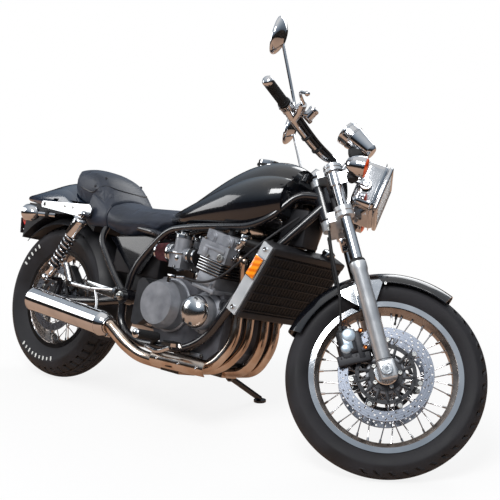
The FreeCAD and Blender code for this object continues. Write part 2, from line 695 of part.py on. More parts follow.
def build_front_fender(sliders):
    """A short fender that turns with the fork, and its braces."""
    start = -(90 + dims.front_fender_trail)
    shell = turned("front_fender_shell", fender_rows("front", "dims.front_fender_edge"),
                   FRONT_AXLE, Y_AXIS, "dims.front_fender_lead + dims.front_fender_trail", start)
    braces = []
    for side, sign in SIDES:
        y = sign * (dims.front_fender_half + 1)
        foot = fork(150, sign * (dims.leg_spacing - 28), -10)
        for index, (ahead, up) in enumerate(((-190, 238), (60, 296))):
            braces.append(rod(f"fender_brace_{side}_{index}", "dims.fender_brace_radius", foot,
                              FRONT_AXLE + Vector(ahead, y, up)))
    bridge = []
    for side, sign in SIDES:
        bridge.append(block(f"fender_lug_{side}", "34", "20", "56",
                            fork(310, sign * (dims.front_fender_half + 6), -8),
                            Rotation(Y_AXIS, -dims.rake_angle)))
    joined = fused("front_fender_joined", [shell] + braces + bridge)
    node("front_fender", "fork", [cut("front_fender_solid", joined, sliders)])


def disc_room(name, centre, y, radius):
    """The room a brake disc needs to turn in, to be cut out of its caliper."""
    half = dims.disc_thickness / 2 + dims.running_gap
    return rod(name, f"{radius} + dims.running_gap", centre + Y_AXIS * (y - half),
               centre + Y_AXIS * (y + half))


def build_front_brakes(clamps):
    tilt = Rotation(Y_AXIS, -dims.rake_angle)
    arm_out = dims.front_disc_half + dims.disc_thickness / 2 + dims.running_gap + 4
    calipers, hoses = [], []
    for side, sign in SIDES:
        centre = fork(119, sign * dims.front_disc_half, -96)
        body = block(f"caliper_{side}_body", "56", "44", "92", centre, tilt)
        arm = block(f"caliper_{side}_arm", "40", "8", "60", fork(119, sign * arm_out, -66), tilt)
        room = disc_room(f"caliper_{side}_room", FRONT_AXLE, sign * dims.front_disc_half,
                         "dims.front_disc_radius")
        calipers.append(cut(f"caliper_{side}", fused(f"caliper_{side}_joined", [body, arm]),
                            [room]))
        route = [fork(dims.lower_clamp_low, sign * 60, STEM - 6), fork(430, sign * 82, -72),
                 fork(300, sign * 92, -76), fork(215, sign * 84, -92),
                 fork(158, sign * (dims.front_disc_half + 12), -108)]
        hose = tube(f"brake_hose_{side}_tube", "dims.hose_radius", route)
        hoses.append(cut(f"brake_hose_{side}", hose, [calipers[-1], clamps]))
    node("front_calipers", "fork", calipers)
    node("brake_hoses", "fork", hoses)


# ---------------------------------------------------------------------------------------------
# Frame, rear end
# ---------------------------------------------------------------------------------------------
def cradle_points(sign):
    """Down tube and cradle on one side, from the steering head to the swingarm pivot."""
    half = sign * dims.frame_half
    return [from_head(16, sign * 12, -30), from_head(-108, sign * 118, -238),
            from_crank(120, sign * 152, 48), from_crank(50, half, -80), from_crank(-50, half, -142),
            from_crank(-300, half, -158), from_pivot(-4, half, -110), from_pivot(-12, half, -8)]


def rail_points(sign):
    """Upper rail on one side, from the pivot up under the tank to the steering head."""
    half = sign * dims.rail_half
    return [from_pivot(-2, sign * dims.frame_half, 4), from_pivot(14, sign * 156, 116),
            from_pivot(90, half, 214), from_pivot(152, half, 272), from_crank(-130, half, 290),
            from_crank(170, sign * 140, 326), from_head(-60, sign * 60, 0),
            from_head(0, sign * 10, 6)]


def subframe_points(sign):
    """Seat rail on one side, from the upper rail back over the wheel."""
    half = sign * dims.seat_rail_half
    return [from_pivot(120, sign * dims.rail_half, 246), from_pivot(40, half, 256),
            from_pivot(-260, half, 280), from_pivot(-540, half, 312)]


def post_points(sign):
    """Rear post on one side, from the seat rail down to the pivot."""
    half = sign * dims.frame_half
    return [from_pivot(-226, sign * dims.seat_rail_half, 272), from_pivot(-206, half, 200),
            from_pivot(-86, half, 70), from_pivot(-10, half, 6)]


def backbone_points():
    """The one big tube under the tank, from the steering head to the seat."""
    return [HEAD, from_head(-150, 0, 0), from_crank(-120, 0, 322), from_pivot(110, 0, 276)]


def frame_tubes(prefix, extra):
    """The frame's tubes, each thicker by the extra radius."""
    pieces = [rod(f"{prefix}_head", f"dims.head_tube_radius + {extra}", fork(HEAD_LOW, 0, STEM),
                  fork(HEAD_HIGH, 0, STEM)),
              tube(f"{prefix}_backbone", f"dims.backbone_radius + {extra}", backbone_points())]
    for side, sign in SIDES:
        for name, radius, points in (
                ("cradle", "dims.frame_tube_radius", cradle_points(sign)),
                ("upper_rail", "dims.rail_tube_radius", rail_points(sign)),
                ("seat_rail", "dims.rail_tube_radius", subframe_points(sign)),
                ("rear_post", "dims.rail_tube_radius", post_points(sign))):
            pieces.append(tube(f"{prefix}_{name}_{side}", f"{radius} + {extra}", points))
    crosses = (("seat", from_pivot(110, 0, 248), dims.rail_half),
               ("tail", from_pivot(-440, 0, 301), dims.seat_rail_half),
               ("shock", from_pivot(-230, 0, 278), dims.seat_rail_half),
               ("cradle", from_crank(-300, 0, -158), dims.frame_half))
    for name, centre, half in crosses:
        pieces.append(rod(f"{prefix}_{name}_cross", f"dims.cross_tube_radius + {extra}",
                          centre - Y_AXIS * half, centre + Y_AXIS * half))
    return pieces


def build_frame():
    pieces = frame_tubes("frame", "0")
    for side, sign in SIDES:
        lug = PIVOT + Y_AXIS * sign * (dims.frame_half - 19)
        pieces.append(rod(f"pivot_lug_{side}", "dims.pivot_lug_radius", lug,
                          lug + Y_AXIS * sign * 38))
        mount = Vector(SHOCK_TOP.x, sign * dims.seat_rail_half, SHOCK_TOP.z)
        stud = dims.shock_spacing + 22 - dims.seat_rail_half
        pieces.append(rod(f"shock_stud_{side}", "9", mount, mount + Y_AXIS * sign * stud))
    pieces.append(block("stand_bracket", "34", "10", "66", STAND_PIVOT + Vector(-2, -4, 44)))
    pieces.append(rod("stand_boss", "15", STAND_PIVOT, STAND_PIVOT + STAND_AXIS * 14))
    head_bore = rod("head_bore", "dims.stem_radius + dims.bore_gap", fork(HEAD_LOW - 5, 0, STEM),
                    fork(HEAD_HIGH + 5, 0, STEM))
    pivot_bore = rod("pivot_bore", "dims.pivot_bolt_radius", PIVOT - Y_AXIS * 240,
                     PIVOT + Y_AXIS * 240)
    stand_bore = rod("stand_bore", "dims.stand_bolt_radius", STAND_PIVOT - STAND_AXIS * 60,
                     STAND_PIVOT + STAND_AXIS * 60)
    bolt = rod("stand_bolt", "dims.stand_bolt_radius", STAND_PIVOT - STAND_AXIS * 34,
               STAND_PIVOT + STAND_AXIS * 16)
    solid = cut("frame_solid", fused("frame_joined", pieces), [head_bore, pivot_bore, stand_bore])
    node("frame", "chassis", [solid, bolt])
    return fused("frame_room", frame_tubes("room", "dims.seat_gap"))


SHOCK_TOP = REAR_AXLE + Vector(210, 0, 353)
SHOCK_LOW = REAR_AXLE + Vector(60, 0, 83)


def build_swingarm():
    right_y, left_y = -dims.arm_spacing, dims.shaft_spacing
    right_bend, left_bend = Vector(260, right_y, 18), Vector(326, left_y, 34)
    right = tube("arm_right", "dims.arm_radius", [
        PIVOT + Y_AXIS * right_y, REAR_AXLE + right_bend, REAR_AXLE + Vector(30, right_y, 0)])
    right_end = block("arm_block", "104", "2 * dims.arm_radius + 4", "52",
                      REAR_AXLE + Vector(2, right_y, 0))
    shaft = tube("shaft_housing", "dims.shaft_radius", [
        PIVOT + Y_AXIS * dims.shaft_front_spacing, REAR_AXLE + left_bend,
        REAR_AXLE + Vector(50, left_y, 0)])
    case = rod("drive_case", "dims.drive_case_radius",
               REAR_AXLE + Y_AXIS * (left_y - dims.drive_case_half),
               REAR_AXLE + Y_AXIS * (left_y + dims.drive_case_half))
    tube_half, bolt_half = dims.frame_half - 20, dims.frame_half + 26
    pieces = [right, right_end, shaft, case,
              rod("pivot_tube", "dims.arm_radius + 4", PIVOT - Y_AXIS * tube_half,
                  PIVOT + Y_AXIS * tube_half),
              rod("arm_cross", "dims.arm_radius - 3", from_pivot(-110, right_y, -10),
                  from_pivot(-110, dims.shaft_front_spacing, -10)),
              rod("pivot_bolt", "dims.pivot_bolt_radius", PIVOT - Y_AXIS * bolt_half,
                  PIVOT + Y_AXIS * bolt_half)]
    for side, sign in SIDES:
        cap = PIVOT + Y_AXIS * sign * (dims.frame_half + 19.5)
        pieces.append(rod(f"pivot_cap_{side}", "dims.pivot_cap_radius", cap,
                          cap + Y_AXIS * sign * 10))
        inner = dims.arm_spacing if sign == RIGHT else dims.shaft_spacing
        foot = Vector(SHOCK_LOW.x, sign * (inner - 4), SHOCK_LOW.z)
        pieces.append(rod(f"shock_lug_{side}", "15", REAR_AXLE + Vector(52, sign * inner, 4),
                          foot))
        pieces.append(rod(f"shock_pin_{side}", "8", foot,
                          foot + Y_AXIS * sign * (dims.shock_spacing + 20 - inner)))
    bore = rod("rear_axle_bore", "dims.axle_radius", REAR_AXLE - Y_AXIS * 220,
               REAR_AXLE + Y_AXIS * 220)
    solid = cut("swingarm_solid", fused("swingarm_joined", pieces), [bore])
    node("swingarm", "chassis", [solid])

    block_half = dims.arm_radius + 2
    block_out, block_in = -(dims.arm_spacing + block_half), -(dims.arm_spacing - block_half)
    axle = [rod("rear_axle_bar", "dims.axle_radius", REAR_AXLE - Y_AXIS * 146,
                REAR_AXLE + Y_AXIS * 160),
            rod("rear_axle_nut", "17", REAR_AXLE + Y_AXIS * block_out,
                REAR_AXLE + Y_AXIS * (block_out - 9)),
            rod("rear_axle_spacer", "14", REAR_AXLE + Y_AXIS * block_in,
                REAR_AXLE - Y_AXIS * (dims.rear_hub_half + 1))]
    node("rear_axle", "chassis", [fused("rear_axle_solid", axle)])

    centre = REAR_AXLE + Vector(96, -dims.rear_disc_half, 96)
    body = block("rear_caliper_body", "50", "36", "96", centre, Rotation(Y_AXIS, -45))
    room = disc_room("rear_caliper_room", REAR_AXLE, -dims.rear_disc_half,
                     "dims.rear_disc_radius")
    node("rear_caliper", "chassis", [cut("rear_caliper_solid", body, [room, solid])])
    return solid


def build_shocks():
    shocks = []
    for side, sign in SIDES:
        top = SHOCK_TOP + Y_AXIS * sign * dims.shock_spacing
        low = SHOCK_LOW + Y_AXIS * sign * dims.shock_spacing
        run = (low - top).normalize()
        length = (low - top).Length
        pieces = [
            rod(f"shock_{side}_cover", "dims.shock_cover_radius", top + run * 22,
                top + run * 100),
            rod(f"shock_{side}_spring", "dims.shock_spring_radius", top + run * 100,
                top + run * (length - 62)),
            rod(f"shock_{side}_body", "dims.shock_body_radius", top + run * (length - 62),
                top + run * (length - 14)),
            rod(f"shock_{side}_top_eye", "dims.shock_eye_radius", top - Y_AXIS * 13,
                top + Y_AXIS * 13),
            rod(f"shock_{side}_low_eye", "dims.shock_eye_radius", low - Y_AXIS * 13,
                low + Y_AXIS * 13),
            rod(f"shock_{side}_neck", "14", top, top + run * 24),
        ]
        holes = [rod(f"shock_{side}_top_hole", "9", top - Y_AXIS * 40, top + Y_AXIS * 40),
                 rod(f"shock_{side}_low_hole", "8", low - Y_AXIS * 40, low + Y_AXIS * 40)]
        shocks.append(cut(f"shock_{side}", fused(f"shock_{side}_joined", pieces), holes))
    node("rear_shocks", "chassis", shocks)


# ---------------------------------------------------------------------------------------------
# Engine
# ---------------------------------------------------------------------------------------------
def build_engine(frame_room):
    half = "2 * dims.crankcase_half"
    rows = [("-270", "-60", ""), ("-230", "-120", ""), ("-150", "-160", ""), ("40", "-160", ""),
            ("84", "-120", ""), ("92", "0", ""), ("66", "76", ""), ("-60", "76", ""),
            ("-150", "110", ""), ("-240", "96", ""), ("-280", "40", "")]
    case = plate("crankcase_block", rows, half, Placement(CRANK, Rotation()))
    tilt = Rotation(Y_AXIS, dims.cylinder_tilt)
    base = from_crank(8, 0, 76)
    up = tilt.multVec(Z_AXIS)
    node("crankcase", "chassis", [case])
    cylinder = block("cylinder_jacket", "110", "2 * dims.cylinder_half", "112",
                     base + up * 57, tilt)
    node("cylinder_block", "chassis", [cut("cylinder_solid", cylinder, [case])])
    head = block("head_casting", "136", "2 * dims.cylinder_half + 8", "58",
                 base + up * 142, tilt)
    cover = block("cam_cover", "128", "2 * dims.cylinder_half - 20", "38", base + up * 190, tilt)
    head_solid = cut("cylinder_head_solid", fused("cylinder_head_joined", [head, cover]),
                     [frame_room])
    node("cylinder_head", "chassis", [head_solid])

    clutch_rows = [("0", "0", ""), ("dims.clutch_radius", "0", ""),
                   ("dims.clutch_radius", "dims.clutch_depth * 0.6", ""),
                   ("dims.clutch_rim", "dims.clutch_depth", ""), ("0", "dims.clutch_depth", "")]
    centre = from_crank(-dims.clutch_behind, -dims.crankcase_half, 1)
    node("clutch_cover", "chassis", [turned("clutch_cover_solid", clutch_rows, centre,
                                            Y_AXIS * RIGHT)])
    dome_rows = [("0", "0", ""), ("dims.ignition_radius", "0", ""),
                 ("dims.ignition_radius", "dims.ignition_depth - 22", "34"),
                 ("dims.ignition_radius - 24", "dims.ignition_depth", ""),
                 ("0", "dims.ignition_depth", "")]
    node("ignition_cover", "chassis", [turned("ignition_cover_solid", dome_rows, from_crank(
        2, -dims.crankcase_half, 0), Y_AXIS * RIGHT)])
    left_rows = [("0", "0", ""), ("dims.alternator_radius", "0", ""),
                 ("dims.alternator_radius", "dims.alternator_depth - 20", "30"),
                 ("dims.alternator_radius - 22", "dims.alternator_depth", ""),
                 ("0", "dims.alternator_depth", "")]
    shift_rows = [("-100", "-50", ""), ("60", "-50", ""), ("60", "40", ""), ("-60", "70", ""),
                  ("-100", "40", "")]
    alternator = turned("alternator_cover", left_rows, from_crank(2, dims.crankcase_half, 0),
                        Y_AXIS)
    gear_cover = plate("gear_cover", shift_rows, "52",
                       Placement(from_crank(-190, dims.crankcase_half + 26, -10), Rotation()))
    node("left_engine_covers", "chassis", [fused("left_covers_solid",
                                                 [alternator, gear_cover])])
    rear_rows = [("-42", "-86", "30"), ("-6", "-92", ""), ("22", "-70", ""), ("22", "60", ""),
                 ("-4", "78", "30"), ("-42", "60", "")]
    node("gearbox_cover", "chassis", [plate("gearbox_cover_solid", rear_rows, "40", Placement(
        from_crank(-286, -dims.crankcase_half - 20, 0), Rotation()))])
    return case, head_solid


def carburetor_rows():
    """Offsets of the four carburettors from the middle, in pitches."""
    return (-1.5, -0.5, 0.5, 1.5)


def build_intake():
    carbs, filters = [], []
    for index, offset in enumerate(carburetor_rows()):
        y = offset * dims.carburetor_pitch
        middle = from_crank(-164, y, 188)
        bore_start, bore_end = middle - X_AXIS * 36, middle + X_AXIS * 66
        carbs.append(rod(f"carburetor_{index}_throat", "dims.carburetor_radius - 6", bore_start,
                         bore_end))
        carbs.append(rod(f"carburetor_{index}_top", "dims.carburetor_radius",
                         middle + Z_AXIS * 6, middle + Z_AXIS * 68))
        carbs.append(block(f"carburetor_{index}_bowl", "58", "52", "48", middle - Z_AXIS * 28))
        front = middle - X_AXIS * 36
        filters.append(cone(f"filter_{index}_cone", "dims.filter_front_radius",
                            "dims.filter_rear_radius", front,
                            front - Vector(dims.filter_length, 0, 4)))
    span = 1.5 * dims.carburetor_pitch
    carbs.append(rod("carburetor_rail", "9", from_crank(-150, -span, 160),
                     from_crank(-150, span, 160)))
    bank = fused("carburetor_bank", carbs)
    node("carburetors", "chassis", [bank])
    node("air_filters", "chassis", [cut(f"filter_{index}", cone_solid, [bank])
                                    for index, cone_solid in enumerate(filters)])


# One row for each header: its port's place across, in cylinder pitches, how far out it runs past
# the frame's down tube, and where it joins its collector.
HEADER_ROWS = ((-1.5, -107, -150), (-0.5, -42, -104), (0.5, 42, 84), (1.5, 107, 124))


def header_points(offset, past_tube, gather):
    """One header's route from its port to the collector under the engine."""
    port = offset * dims.cylinder_pitch
    return [from_crank(104, port, 206), from_crank(130, port, 200),
            from_crank(123, past_tube, 140), from_crank(118, past_tube, 30),
            from_crank(128, past_tube, -80), from_crank(66, (past_tube + gather) / 2, -184),
            from_crank(-40, gather, -206), from_crank(-90, gather, -208)]


def collector_points(sign):
    """The route from the collector under the engine out past the cradle to the muffler."""
    start, turn = (128, 150) if sign == RIGHT else (101, 126)
    return [from_crank(-84, sign * start, -207), from_crank(-170, sign * turn, -207),
            from_crank(-240, sign * 182, -200), from_crank(-292, sign * 208, -172),
            from_crank(-370, sign * 228, -117), muffler_axis(sign)[0]]


def build_exhaust(case):
    mufflers = []
    for side, sign in SIDES:
        front, rear = muffler_axis(sign)
        radius, wall = "dims.muffler_radius", "dims.muffler_wall"
        rows = [("0", "0", ""), ("dims.collector_radius + 8", "0", "60"), (radius, "34", ""),
                (radius, "dims.muffler_length", ""),
                (f"{radius} - {wall}", "dims.muffler_length", ""),
                (f"{radius} - {wall}", "dims.muffler_length - 40", ""),
                ("0", "dims.muffler_length - 40", "")]
        mufflers.append(turned(f"muffler_{side}", rows, front, (rear - front).normalize()))
    node("mufflers", "chassis", mufflers)

    headers = []
    for index, row in enumerate(HEADER_ROWS):
        headers.append(tube(f"header_{index}", "dims.header_radius", header_points(*row)))
    for side, sign in SIDES:
        route = collector_points(sign)
        headers.append(tube(f"collector_{side}", "dims.collector_radius", route))
        headers.append(block(f"collector_box_{side}", "90", "84", "44",
                             route[0] + Vector(-4, 0, 0)))
    front, rear = from_crank(90, -172, -186), from_crank(-150, -192, -190)
    outer = rod("shield_outer", "dims.shield_radius", front, rear)
    inner = rod("shield_inner", "dims.shield_radius - 4", front + Vector(5, 0, 0),
                rear - Vector(5, 0, 0))
    keep = block("shield_keep", "400", "60", "120", (front + rear) * 0.5 - Y_AXIS * 32)
    shell = common("shield_half", cut("shield_shell", outer, [inner]), keep)
    stay = block("shield_stay", "30", "56", "6", from_crank(-60, -182, -205))
    joined = fused("exhaust_joined", headers + [shell, stay])
    solid = cut("exhaust_solid", joined, mufflers + [case])
    node("exhaust_headers", "chassis", [solid])
    return solid


def muffler_axis(sign):
    """Front and rear ends of one muffler's axis."""
    y = sign * dims.muffler_spacing
    front = from_pivot(14, y, -113)
    rear = front + Vector(-456, 0, 29).normalize() * dims.muffler_length
    return front, rear


# ---------------------------------------------------------------------------------------------
# Cooling
# ---------------------------------------------------------------------------------------------
def radiator_place():
    """The radiator lies along the down tubes, ahead of them."""
    top, low = cradle_points(LEFT)[1], cradle_points(LEFT)[2]
    along = Vector(top.x - low.x, 0, top.z - low.z).normalize()
    ahead = Vector(along.z, 0, -along.x)
    middle = Vector((top.x + low.x) / 2, 0, (top.z + low.z) / 2)
    offset = dims.frame_tube_radius + dims.radiator_gap + dims.radiator_thickness / 2
    turn = Rotation(Y_AXIS, math.degrees(math.atan2(along.x, along.z)))
    return middle + ahead * offset + along * dims.radiator_rise, turn, along, ahead


def build_cooling(case, head, exhaust):
    centre, turn, along, ahead = radiator_place()
    core = block("radiator_core", "dims.radiator_thickness", "dims.radiator_width",
                 "dims.radiator_height", centre, turn)
    node("radiator", "chassis", [core])
    covers = []
    for side, sign in SIDES:
        place = centre + Y_AXIS * sign * (dims.radiator_width + dims.radiator_cover_width) / 2
        covers.append(block(f"radiator_cover_{side}", "dims.radiator_thickness - 8",
                            "dims.radiator_cover_width", "dims.radiator_height - 6", place, turn))
    node("radiator_covers", "chassis", covers)
    back = centre - ahead * dims.radiator_thickness / 2
    inlet, outlet = back + along * 84, back - along * 92
    routes = (("top", [inlet + ahead * 4, inlet - ahead * 40, from_crank(96, 0, 262)]),
              ("low", [outlet + ahead * 4, outlet - ahead * 34, from_crank(84, 0, 24)]))
    node("coolant_hoses", "chassis", [
        cut(f"{name}_hose", tube(f"{name}_hose_tube", "dims.hose_outer_radius", points),
            [core, case, head, exhaust]) for name, points in routes])


# ---------------------------------------------------------------------------------------------
# Bodywork
# ---------------------------------------------------------------------------------------------
def saddle_section(x, low, shoulder, high, half_low, half_mid, half_high):
    """A closed section across the machine: flat bottom, round sides, arched top."""
    mid = low + (shoulder - low) * 0.5

    def at(y, z):
        return Vector(x, y, z)

    edges = [
        Part.LineSegment(at(-half_low, low), at(half_low, low)).toShape(),
        Part.Arc(at(half_low, low), at(half_mid, mid), at(half_high, shoulder)).toShape(),
        Part.Arc(at(half_high, shoulder), at(0, high), at(-half_high, shoulder)).toShape(),
        Part.Arc(at(-half_high, shoulder), at(-half_mid, mid), at(-half_low, low)).toShape(),
    ]
    return Part.Wire(edges)


def build_tank(frame_room):
    """The tank: sections from the seat to the steering head. Columns: share of the way forward,
    bottom, shoulder, top, half widths at bottom, middle and shoulder."""
    rear_x = dims.tank_rear_ahead
    front_x = HEAD.x - dims.head_tube_radius - dims.tank_head_gap
    table = [
        (0.0, 692, 738, 760, 70, 82, 58),
        (0.22, 694, 782, 832, 112, 132, 84),
        (0.5, 706, 856, 924, 130, 158, 98),
        (0.78, 730, 905, 970, 134, 164, 96),
        (1.0, 780, 905, 950, 96, 120, 70),
    ]
    wires = []
    for share, low, shoulder, high, half_low, half_mid, half_high in table:
        x = rear_x + (front_x - rear_x) * share
        wires.append(saddle_section(x, low, shoulder, high, half_low, half_mid, half_high))
    shell = lofted("tank_shell", wires)
    node("fuel_tank", "chassis", [cut("tank_solid", shell, [frame_room])])
    cap_base = Vector(rear_x + (front_x - rear_x) * 0.66, 0, 944)
    cap = rod("fuel_cap_disc", "dims.fuel_cap_radius", cap_base, cap_base + Vector(-2, 0, 28))
    node("fuel_cap", "chassis", [cut("fuel_cap_solid", cap, [shell])])
    return shell


def build_seats(tank, frame_room):
    """Rider's dished seat and the raised passenger seat behind it."""
    rider_rows = [(612, 690, 734, 757, 76, 86, 60), (520, 650, 730, 752, 100, 122, 84),
                  (400, 630, 728, 750, 132, 150, 106),
                  (dims.seat_split + dims.seat_gap, 640, 744, 768, 136, 152, 110)]
    rider = lofted("rider_seat_loft", [saddle_section(*row) for row in rider_rows])
    node("rider_seat", "chassis", [cut("rider_seat_solid", rider, [tank, frame_room])])
    pillion_rows = [(dims.seat_split, 650, 742, 764, 134, 148, 112),
                    (276, 676, 766, 790, 130, 142, 112),
                    (230, 700, 812, 836, 124, 136, 110), (178, 712, 842, 864, 118, 130, 106),
                    (110, 728, 854, 874, 110, 121, 98), (60, 744, 852, 870, 102, 111, 88),
                    (30, 772, 841, 855, 88, 97, 74)]
    pillion = lofted("pillion_loft", [saddle_section(*row) for row in pillion_rows])
    node("pillion_seat", "chassis", [cut("pillion_solid", pillion, [frame_room])])
    return pillion


STRUT_HOLES_AHEAD = (60, 110)


def build_tail(pillion, frame_room, swingarm):
    rows = [(250, 652, 680, 700, 130, 133, 126), (120, 668, 700, 724, 130, 133, 118),
            (0, 686, 768, 812, 120, 127, 96), (-95, 694, 776, 806, 110, 118, 84),
            (-220, 702, 746, 772, 92, 100, 72), (-308, 710, 732, 748, 62, 68, 54),
            (-344, 716, 728, 738, 36, 42, 28)]
    cowl = lofted("tail_cowl_loft", [saddle_section(*row) for row in rows])
    hollow = block("tail_hollow", "340", "2 * (dims.seat_rail_half + dims.rail_tube_radius + 4)",
                   "152", Vector(100, 0, 654))
    stud_room = rod("tail_stud_room", "10", SHOCK_TOP - Y_AXIS * 200, SHOCK_TOP + Y_AXIS * 200)
    cowl_solid = cut("tail_cowl_solid", cowl, [pillion, hollow, stud_room])
    node("tail_cowl", "chassis", [cowl_solid])

    shell = turned("rear_fender_shell", fender_rows("rear", "dims.rear_fender_edge"), REAR_AXLE,
                   Y_AXIS, "dims.rear_fender_lead + dims.rear_fender_trail",
                   -(90 + dims.rear_fender_trail))
    fender = cut("rear_fender_solid", shell, [frame_room, swingarm])
    lean = Rotation(Y_AXIS, -dims.plate_flap_tilt)
    hole_middle = REAR_AXLE + Vector(-318, 0, 262)
    flap_middle = hole_middle + lean.multVec(Z_AXIS) * 15
    flap = block("plate_flap", "dims.plate_flap_wall", "150", "66", flap_middle, lean)
    through = lean.multVec(X_AXIS) * 40
    holes = []
    for side, sign in SIDES:
        at = hole_middle + Y_AXIS * sign * dims.plate_hole_half
        holes.append(rod(f"plate_hole_{side}", "dims.plate_hole_radius", at - through, at + through))
    bracket = cut("plate_bracket", cut("plate_bracket_drilled", flap, holes), [fender])
    node("rear_fender", "chassis", [fender, bracket])

    lamp = lofted("tail_lamp_loft", [saddle_section(*row) for row in (
        (-262, 598, 690, 708, 58, 80, 62), (-314, 596, 690, 706, 58, 80, 60),
        (-340, 612, 678, 692, 42, 62, 44))])
    node("tail_lamp", "chassis", [cut("tail_lamp_solid", lamp, [cowl_solid, fender, flap])])
    signals = []
    for side, sign in SIDES:
        middle = REAR_AXLE + Vector(-152, sign * dims.rear_signal_spacing, 332)
        start_point = middle + X_AXIS * dims.signal_length / 2
        shell = turned(f"rear_signal_{side}_shell", signal_rows(), start_point, -X_AXIS)
        stalk = rod(f"rear_signal_{side}_stalk", "dims.signal_stalk_radius", middle,
                    middle + Vector(106, -sign * 36, 6))
        signals.append(cut(f"rear_signal_{side}", fused(f"rear_signal_{side}_joined",
                                                        [shell, stalk]), [fender]))
    node("rear_turn_signals", "chassis", signals)

    struts = []
    for side, sign in SIDES:
        y = sign * (dims.shock_spacing - 22)
        outline = [("-86", "14", "16"), ("-86", "-12", ""), ("190", "-22", "34"),
                   ("226", "20", "30"), ("190", "32", "")]
        place = Placement(Vector(0, y, REAR_AXLE.z + 372), Rotation(Y_AXIS, 2))
        strip = plate(f"strut_{side}_strip", outline, "dims.strut_thickness", place)
        holes = [rod(f"strut_{side}_hole_{index}", "dims.strut_hole_radius",
                     Vector(x, y - 30, REAR_AXLE.z + 378), Vector(x, y + 30, REAR_AXLE.z + 378))
                 for index, x in enumerate(STRUT_HOLES_AHEAD)]
        stud = rod(f"strut_{side}_stud", "9", SHOCK_TOP, SHOCK_TOP + Y_AXIS * sign * 300)
        struts.append(cut(f"strut_{side}", strip, holes + [stud]))
    node("fender_struts", "chassis", struts)


def build_side_panels(frame_room):
    panels = []
    for side, sign in SIDES:
        outline = [("-196", "214", ""), ("-40", "86", ""), ("2", "92", ""), ("74", "206", ""),
                   ("82", "232", ""), ("0", "236", "")]
        place = Placement(PIVOT + Y_AXIS * sign * (dims.seat_rail_half + 2), Rotation())
        panel = plate(f"side_panel_{side}_plate", outline, "dims.panel_thickness", place)
        panels.append(cut(f"side_panel_{side}", panel, [frame_room]))
    node("side_panels", "chassis", panels)


# ---------------------------------------------------------------------------------------------
# Foot rests, foot controls, side stand
# ---------------------------------------------------------------------------------------------
def build_foot_rests(frame_room):
    pegs = []
    for side, sign in SIDES:
        start = Vector(dims.peg_ahead, sign * 186, dims.peg_height)
        end = start + Vector(-6, sign * dims.peg_length, 4)
        peg = rod(f"rider_peg_{side}", "dims.peg_radius", start, end)
        arm = tube(f"rider_peg_{side}_arm", "9", [
            Vector(dims.peg_ahead - 40, sign * (dims.frame_half + 2), dims.peg_height - 32),
            Vector(dims.peg_ahead - 30, sign * 176, dims.peg_height - 24), start])
        pegs.append(fused(f"rider_rest_{side}", [peg, arm]))
    node("rider_pegs", "chassis", [cut(f"rider_peg_solid_{side}", peg, [frame_room])
                                   for (side, _), peg in zip(SIDES, pegs)])
    pillion = []
    for side, sign in SIDES:
        y = sign * (dims.frame_half + 22)
        bracket = tube(f"pillion_bracket_{side}", "8", [from_pivot(-50, y, 16),
                                                        from_pivot(-180, y, 2),
                                                        from_pivot(-300, y, 6)])
        strip = block(f"pillion_plate_{side}", "150", "7", "26", from_pivot(-120, y, 8),
                      Rotation(Y_AXIS, 4))
        hinge = rod(f"pillion_hinge_{side}", "11", from_pivot(-302, y - sign * 16, 4),
                    from_pivot(-302, y + sign * 16, 4))
        peg = rod(f"pillion_peg_{side}", "dims.pillion_peg_radius", from_pivot(-306, y, 10),
                  from_pivot(-352, y, 76))
        inner = rod(f"pillion_tie_{side}", "8", from_pivot(-52, sign * dims.frame_half, 26),
                    from_pivot(-52, y, 16))
        hanger = tube(f"muffler_hanger_{side}", "7", [
            from_pivot(-150, y, 0), from_pivot(-110, y + sign * 12, -50),
            from_pivot(-100, sign * (dims.muffler_spacing - 20), -84)])
        front, rear = muffler_axis(sign)
        muffler_room = rod(f"pillion_room_{side}", "dims.muffler_radius", front, rear)
        joined = fused(f"pillion_rest_{side}_joined",
                       [bracket, strip, hinge, peg, inner, hanger])
        pillion.append(cut(f"pillion_rest_{side}", joined, [frame_room, muffler_room]))
    node("pillion_pegs", "chassis", pillion)
    brake = tube("brake_pedal_bar", "8", [
        Vector(dims.peg_ahead - 34, -200, dims.peg_height - 40),
        Vector(dims.peg_ahead + 60, -232, dims.peg_height - 46),
        Vector(dims.peg_ahead + 120, -236, dims.peg_height - 20)])
    brake_pad = block("brake_pedal_pad", "44", "56", "12",
                      Vector(dims.peg_ahead + 136, -246, dims.peg_height - 8))
    shift = tube("shift_lever_bar", "7", [
        Vector(dims.peg_ahead - 34, 200, dims.peg_height - 36),
        Vector(dims.peg_ahead + 60, 226, dims.peg_height - 26),
        Vector(dims.peg_ahead + 130, 232, dims.peg_height + 4)])
    shift_pad = rod("shift_toe", "11", Vector(dims.peg_ahead + 130, 232, dims.peg_height + 4),
                    Vector(dims.peg_ahead + 130, 276, dims.peg_height + 6))
    node("foot_controls", "chassis", [fused("brake_pedal", [brake, brake_pad]),
                                      fused("shift_lever", [shift, shift_pad])])


STAND_PIVOT = Vector(dims.stand_pivot_ahead, dims.stand_pivot_out, dims.stand_pivot_height)


def lean_turn():
    """The turn that leans the upright machine to its left."""
    return Rotation(X_AXIS, -dims.lean_angle)


def steer_turn():
    """The turn of the fork to its left stop, about the steering axis."""
    turn = Rotation(STEER_UP, dims.steer_angle)
    return Placement(STEER_POINT - turn.multVec(STEER_POINT), turn)


